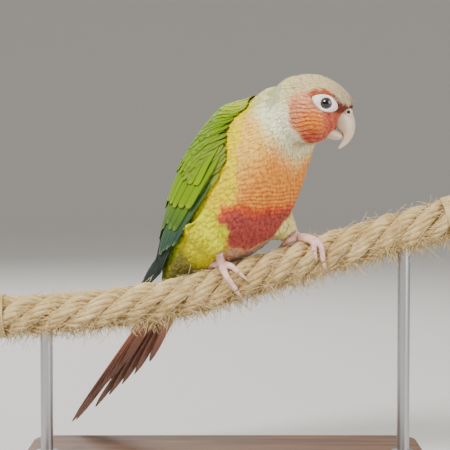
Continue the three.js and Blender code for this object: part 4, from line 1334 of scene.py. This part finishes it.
for name, foot in FEET.items():
    stand = by_rope(*(np.array([v], float) for v in foot["stand"]), np.array([ROPE_RADIUS + 2.1]))[0]
    parts = []
    ankle = foot["ankle"]
    shank = [ankle, ankle + (stand - ankle) * 0.5, stand]
    parts.append((20, 44, limb(shank, [2.0, 1.8, 2.4], 0.06)))
    claws = []
    for toe in foot["toes"]:
        x, turn = np.array(toe, float).T
        points = by_rope(x, turn, ROPE_RADIUS + np.array([1.5, 1.2, 1.0]))
        points[0] = mix(points[0], stand, TOE_DRAWN)
        parts.append((20, 60, limb(points, [1.9, 1.5, 1.2], 0.07)))
        slant = (x[2] - x[1]) / abs(turn[2] - turn[1])
        way = np.sign(turn[2])
        points = by_rope(x[2] + slant * CLAW_TURNS, turn[2] + way * CLAW_TURNS, ROPE_RADIUS + CLAW_LIFT)
        claws.append((16, 24, limb(points, CLAW_RADIUS, 0.0)))
    mesh = lofted(f"foot_skin_{name}", parts)
    mesh = refined(f"foot_skin_{name}", [mesh], 0.0, 0.26, 1, lambda p: np.zeros(len(p)))
    finish_piece(f"foot_skin_{name}", mesh, FOOT_SKIN, [f"foot_{name}"])
    mesh = lofted(f"claws_{name}", claws)
    finish_piece(f"claws_{name}", mesh, CLAW_HORN, [f"claw_{name}_{n}" for n in range(1, 5)])

# %% [markdown]
# ## Rope
# Four strands twist one way, and the yarns in each strand twist the other way, which is what keeps a rope
# together. Each yarn is a loft along its own double helix. Loose fibres stand off the yarns,
# and a fringe of them hangs from the underside.

# %% Yarns
ROPE_LAY = 54
YARN_LAY = 27
YARNS = 8
STRAND_PLACE = ROPE_RADIUS * 0.57
YARN_PLACE = 2.75
YARN_RADIUS = 1.34


def jute(name, scale):
    """Dry plant fibre, drawn coarse: the real fibres are 0.05 mm and would not show."""
    material, tree, surface = new_material(
        name, Roughness=0.88, Sheen_Weight=0.2, Sheen_Roughness=0.5, Specular_IOR_Level=0.2
    )
    uv = add_node(tree, "UVMap", {}, uv_map="Round")
    turned = add_node(tree, "Mapping", {"Vector": uv, "Rotation": (0, 0, 0.05), "Scale": (9.0, scale, 1.0)})
    fibres = noise(tree, turned, 1.0, 4.0, Roughness=0.6)
    cloud = noise(tree, object_place(tree), 90.0, 3.0)
    tone = two_tone(tree, spread(tree, cloud, 0.35, 0.68), rgba("#c4a468"), rgba("#e4ca94"))
    shade = spread(tree, fibres, 0.3, 0.7, 0.62, 1.12)
    colour = add_node(tree, "VectorMath", {0: tone, "Scale": shade}, operation="SCALE")
    dress(tree, surface, colour, fibres, 0.7, 0.0005)
    return material


JUTE = jute("twisted_jute_yarn", 60.0)


def yarn_line(strand, yarn, share):
    """The middle line of one yarn of one strand, at shares of the rope's length."""
    arc = share * ROPE_LENGTH
    x = np.interp(arc, ROPE_ARC, ROPE_PATH[:, 0])
    middle, out, _ = rope_frame(x)
    turn = (strand / 4 * 2 * math.pi - arc * 2 * math.pi / ROPE_LAY)[:, None]
    radial = out * np.cos(turn) + CAMERA_SIDE * np.sin(turn)
    around = -out * np.sin(turn) + CAMERA_SIDE * np.cos(turn)
    twist = (yarn / YARNS * 2 * math.pi + arc * 2 * math.pi / YARN_LAY)[:, None]
    loose = 0.35 * patchy(middle + 40 * strand + 7 * yarn, 22)[:, None]
    place = (STRAND_PLACE + (YARN_PLACE + loose) * np.cos(twist)) * radial
    return middle + place + (YARN_PLACE + loose) * np.sin(twist) * around, radial


def yarn_place(strand, yarn):
    def place(angle, share):
        middle, _ = yarn_line(strand, yarn, share)
        ahead, _ = yarn_line(strand, yarn, np.minimum(share + 1e-3, 1))
        behind, _ = yarn_line(strand, yarn, np.maximum(share - 1e-3, 0))
        along = unit(ahead - behind)
        side = unit(np.cross(along, CAMERA_SIDE))
        over = np.cross(side, along)
        r = YARN_RADIUS * (1 + 0.07 * np.sin(2 * angle + share * ROPE_LENGTH * 2.2))
        r = r * np.where((share < 1e-6) | (share > 1 - 1e-6), 0, 1)
        return middle + side * (r * np.cos(angle))[:, None] + over * (r * np.sin(angle))[:, None]

    return place


for strand in range(4):
    parts = [(9, 190, yarn_place(strand, yarn)) for yarn in range(YARNS)]
    mesh = lofted(f"perch_yarns_{strand + 1}", parts)
    finish_piece(f"perch_yarns_{strand + 1}", mesh, JUTE, [f"perch_rope_strand_{strand + 1}"])

# %% Loose fibres
FIBRES = 4400
FIBRE_ROWS = 5


def jute_fibre():
    material, tree, surface = new_material("loose_jute_fibre", Roughness=0.8)
    markings = add_node(tree, "Attribute", {}, "Color", attribute_name="plumage")
    tree.links.new(markings, surface.inputs["Base Color"])
    return material


share = rng.uniform(0.02, 0.98, FIBRES)
x = np.interp(share * ROPE_LENGTH, ROPE_ARC, ROPE_PATH[:, 0])
middle, out, along = rope_frame(x)
turn = rng.uniform(0, 2 * math.pi, FIBRES)
fringe = rng.random(FIBRES) < 0.36
turn = np.where(fringe, rng.normal(math.pi, 0.5, FIBRES), turn)
radial = out * np.cos(turn)[:, None] + CAMERA_SIDE * np.sin(turn)[:, None]
around = -out * np.sin(turn)[:, None] + CAMERA_SIDE * np.cos(turn)[:, None]
way = along * rng.choice([-1, 1], FIBRES)[:, None] + around * rng.normal(0, 0.5, FIBRES)[:, None]
way = unit(way + radial * rng.uniform(0.05, 0.5, FIBRES)[:, None])
way = np.where(fringe[:, None], unit(radial + 0.5 * rng.normal(size=(FIBRES, 3))), way)
length = np.where(fringe, rng.uniform(2, 5.5, FIBRES), rng.uniform(3, 8, FIBRES))
far = np.linspace(0, 1, FIBRE_ROWS + 1)[None, :, None]
curl = rng.normal(size=(FIBRES, 1, 3)) * 0.35
start = (middle + radial * (ROPE_RADIUS - 1.2))[:, None]
centre = start + (way[:, None] * far + curl * far**2 - UP * 0.25 * far**2) * length[:, None, None]
centre[..., 0] = np.clip(centre[..., 0], CAD_BOX[0][0] / MM + 0.6, CAD_BOX[1][0] / MM - 0.6)
normal = np.broadcast_to(radial[:, None], centre.shape)
half = np.broadcast_to(0.11 - 0.06 * far[..., 0], centre.shape[:2])
tone = np.broadcast_to(linear("#dcc28c") * rng.uniform(0.7, 1.15, (FIBRES, 1, 1)), centre.shape)
mesh = plumes("perch_fibres", vane(1, FIBRE_ROWS), (centre, normal, half, tone), 0.15, camber=0, on_rope=True)
finish_piece("perch_fibres", mesh, jute_fibre())

# %% Whippings of thin twine
TWINE = 0.5
TWINE_TURNS = 8
WHIPPING_HALF = 4.0
WHIPPING_INSET = 9
for name, arc in (("left", WHIPPING_INSET), ("right", ROPE_LENGTH - WHIPPING_INSET)):

    def twine(angle, share, arc=arc):
        at = arc + (share - 0.5) * 2 * (WHIPPING_HALF - TWINE)
        x = np.interp(at, ROPE_ARC, ROPE_PATH[:, 0])
        middle, out, along = rope_frame(x)
        turn = (share * TWINE_TURNS * 2 * math.pi)[:, None]
        radial = out * np.cos(turn) + CAMERA_SIDE * np.sin(turn)
        r = TWINE * np.where((share < 1e-6) | (share > 1 - 1e-6), 0, 1) * np.ones_like(angle)
        reach = ROPE_RADIUS + 0.45 + r * np.cos(angle)
        return middle + radial * reach[:, None] + along * (r * np.sin(angle))[:, None]

    mesh = lofted(f"whipping_twine_{name}", [(8, 40 * TWINE_TURNS, twine)])
    twine_jute = jute("waxed_twine", 500.0)
    finish_piece(f"whipping_twine_{name}", mesh, twine_jute, [f"perch_whipping_{name}"])

# %% [markdown]
# ## Stand
# A dark oiled board with softened edges carries two brushed steel rods, each in a small collar.

# %% Board
def oiled_walnut():
    """Walnut: brown with darker growth lines along the board, oiled to a soft gloss."""
    material, tree, surface = new_material("oiled_walnut", Roughness=0.42, IOR=1.5)
    drawn = add_node(tree, "Mapping", {"Vector": object_place(tree), "Scale": (6.0, 90.0, 90.0)})
    grain = noise(tree, drawn, 2.2, 8.0, Roughness=0.62, Distortion=0.6)
    tone = two_tone(tree, spread(tree, grain, 0.32, 0.68), rgba("#4a3020"), rgba("#7a573c"))
    dress(tree, surface, tone, noise(tree, drawn, 16.0, 3.0), 0.12, 0.0003)
    return material


low, high = (np.array(corner[:]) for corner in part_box("stand_base"))
bm = bmesh.new()
bmesh.ops.create_cube(bm, size=1.0)
bmesh.ops.scale(bm, vec=Vector(high - low), verts=bm.verts[:])
bmesh.ops.translate(bm, vec=Vector((low + high) / 2), verts=bm.verts[:])
upright = [e for e in bm.edges if abs(e.verts[0].co.z - e.verts[1].co.z) > 1e-4]
bmesh.ops.bevel(bm, geom=upright, offset=12 * MM, segments=10, profile=0.5, affect="EDGES", material=-1)
flat = [e for e in bm.edges if abs(e.verts[0].co.z - e.verts[1].co.z) < 1e-5 and len(e.link_faces) == 2
        and abs(e.link_faces[0].normal.z - e.link_faces[1].normal.z) > 0.5]
bmesh.ops.bevel(bm, geom=flat, offset=1.4 * MM, segments=4, profile=0.5, affect="EDGES", material=-1)
board = finish_piece("stand_board", mesh_of(bm, "stand_board"), oiled_walnut(), ["stand_base"])
board.data.set_sharp_from_angle(angle=math.radians(40))


# %% Rods
def brushed_steel():
    material, tree, surface = new_material("brushed_steel", Metallic=1.0, Base_Color=rgba("#b9babc"))
    drawn = add_node(tree, "Mapping", {"Vector": object_place(tree), "Scale": (900.0, 900.0, 25.0)})
    lines = noise(tree, drawn, 1.0, 4.0)
    bump_by(tree, surface, lines, 0.08, 0.0001)
    tree.links.new(spread(tree, lines, 0.0, 1.0, 0.24, 0.4), surface.inputs["Roughness"])
    return material


STEEL = brushed_steel()
BASE_TOP = 10.0
ROD_RADIUS = 3.0
# Radius of the rod and its collar at each height over the board
COLLAR_PROFILE = [(0, 6.2), (2.2, 6.2), (3.0, 5.4), (3.4, ROD_RADIUS)]
for name, x in (("left", -86.0), ("right", 86.0)):
    top = float(np.interp(x, *ROPE_PATH.T)) - ROPE_RADIUS + 3.0
    profile = [(0.0, 0.0)] + COLLAR_PROFILE + [(top - BASE_TOP, ROD_RADIUS), (top - BASE_TOP, 0.0)]
    bm = bmesh.new()
    verts = [bm.verts.new(Vector((x + r, 0, BASE_TOP + h)) * MM) for h, r in profile]
    edges = [bm.edges.new(pair) for pair in zip(verts, verts[1:])]
    bmesh.ops.spin(
        bm, geom=verts + edges, cent=Vector((x, 0, 0)) * MM, axis=(0, 0, 1), angle=2 * math.pi, steps=48,
        use_merge=True, use_normal_flip=False, use_duplicate=False
    )
    bmesh.ops.remove_doubles(bm, verts=bm.verts[:], dist=1e-6)
    bmesh.ops.recalc_face_normals(bm, faces=bm.faces[:])
    mesh = mesh_of(bm, f"stand_post_{name}")
    rod = finish_piece(f"stand_post_{name}", mesh, STEEL, [f"stand_rod_{name}"])
    rod.data.set_sharp_from_angle(angle=math.radians(35))

# %% [markdown]
# ## Studio
# A pale floor that curves up all round, three soft lamps and a pale sky. The camera stands a little
# above the rope's height.

# %% Floor, lights and camera
floor_material, _, _ = new_material("pale_studio_floor", Roughness=0.9, Base_Color=rgba("#c8c5c0"))
FLOOR_FLAT = 2.2
FLOOR_BEND = 1.8
turns = np.linspace(0, math.pi / 2, 20)
bend = [(FLOOR_FLAT + FLOOR_BEND * math.sin(a), FLOOR_BEND * (1 - math.cos(a))) for a in turns]
bm = bmesh.new()
verts = [bm.verts.new((r, 0, z - 0.0003)) for r, z in [(0, 0)] + bend]
edges = [bm.edges.new(pair) for pair in zip(verts, verts[1:])]
bmesh.ops.spin(bm, geom=verts + edges, cent=(0, 0, 0), axis=(0, 0, 1), angle=2 * math.pi, steps=96)
bmesh.ops.remove_doubles(bm, verts=bm.verts[:], dist=1e-5)
bmesh.ops.recalc_face_normals(bm, faces=bm.faces[:])
floor = bpy.data.objects.new("studio_floor", mesh_of(bm, "studio_floor"))
for polygon in floor.data.polygons:
    polygon.use_smooth = True
floor.data.materials.append(floor_material)
bpy.context.scene.collection.objects.link(floor)
floor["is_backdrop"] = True

world = bpy.data.worlds.new("studio_sky")
world.use_nodes = True
world.node_tree.nodes["Background"].inputs["Color"].default_value = rgba("#dcdad6")
world.node_tree.nodes["Background"].inputs["Strength"].default_value = 0.75
bpy.context.scene.world = world
AIM = Vector((0, 0, EYE_LEVEL)) * MM
LAMPS = [
    ("key", (-0.55, -0.75, 0.95), 0.4, 22.0),
    ("fill", (0.8, -0.6, 0.45), 0.8, 8.0),
    ("rim", (-0.3, 0.8, 0.8), 0.6, 10.0),
]
for name, place, size, power in LAMPS:
    lamp = bpy.data.lights.new(name, "AREA")
    lamp.shape = "DISK"
    lamp.size = size
    lamp.energy = power
    holder = bpy.data.objects.new(name, lamp)
    holder.location = place
    holder.rotation_euler = (AIM - Vector(place)).to_track_quat("-Z", "Y").to_euler()
    bpy.context.scene.collection.objects.link(holder)

CAMERA_DISTANCE = 0.75
CAMERA_RISE = math.radians(3)
lens = bpy.data.cameras.new("camera")
lens.lens = 125
lens.sensor_width = 36
camera = bpy.data.objects.new("camera", lens)
camera.location = AIM + CAMERA_DISTANCE * Vector((0, -math.cos(CAMERA_RISE), math.sin(CAMERA_RISE)))
camera.rotation_euler = (AIM - camera.location).to_track_quat("-Z", "Y").to_euler()
bpy.context.scene.collection.objects.link(camera)
bpy.context.scene.camera = camera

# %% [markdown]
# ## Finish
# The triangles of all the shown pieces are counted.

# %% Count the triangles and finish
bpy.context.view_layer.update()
total = sum(len(p.vertices) - 2 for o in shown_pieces() if o.type == "MESH" for p in o.data.polygons)
print("triangles:", total)
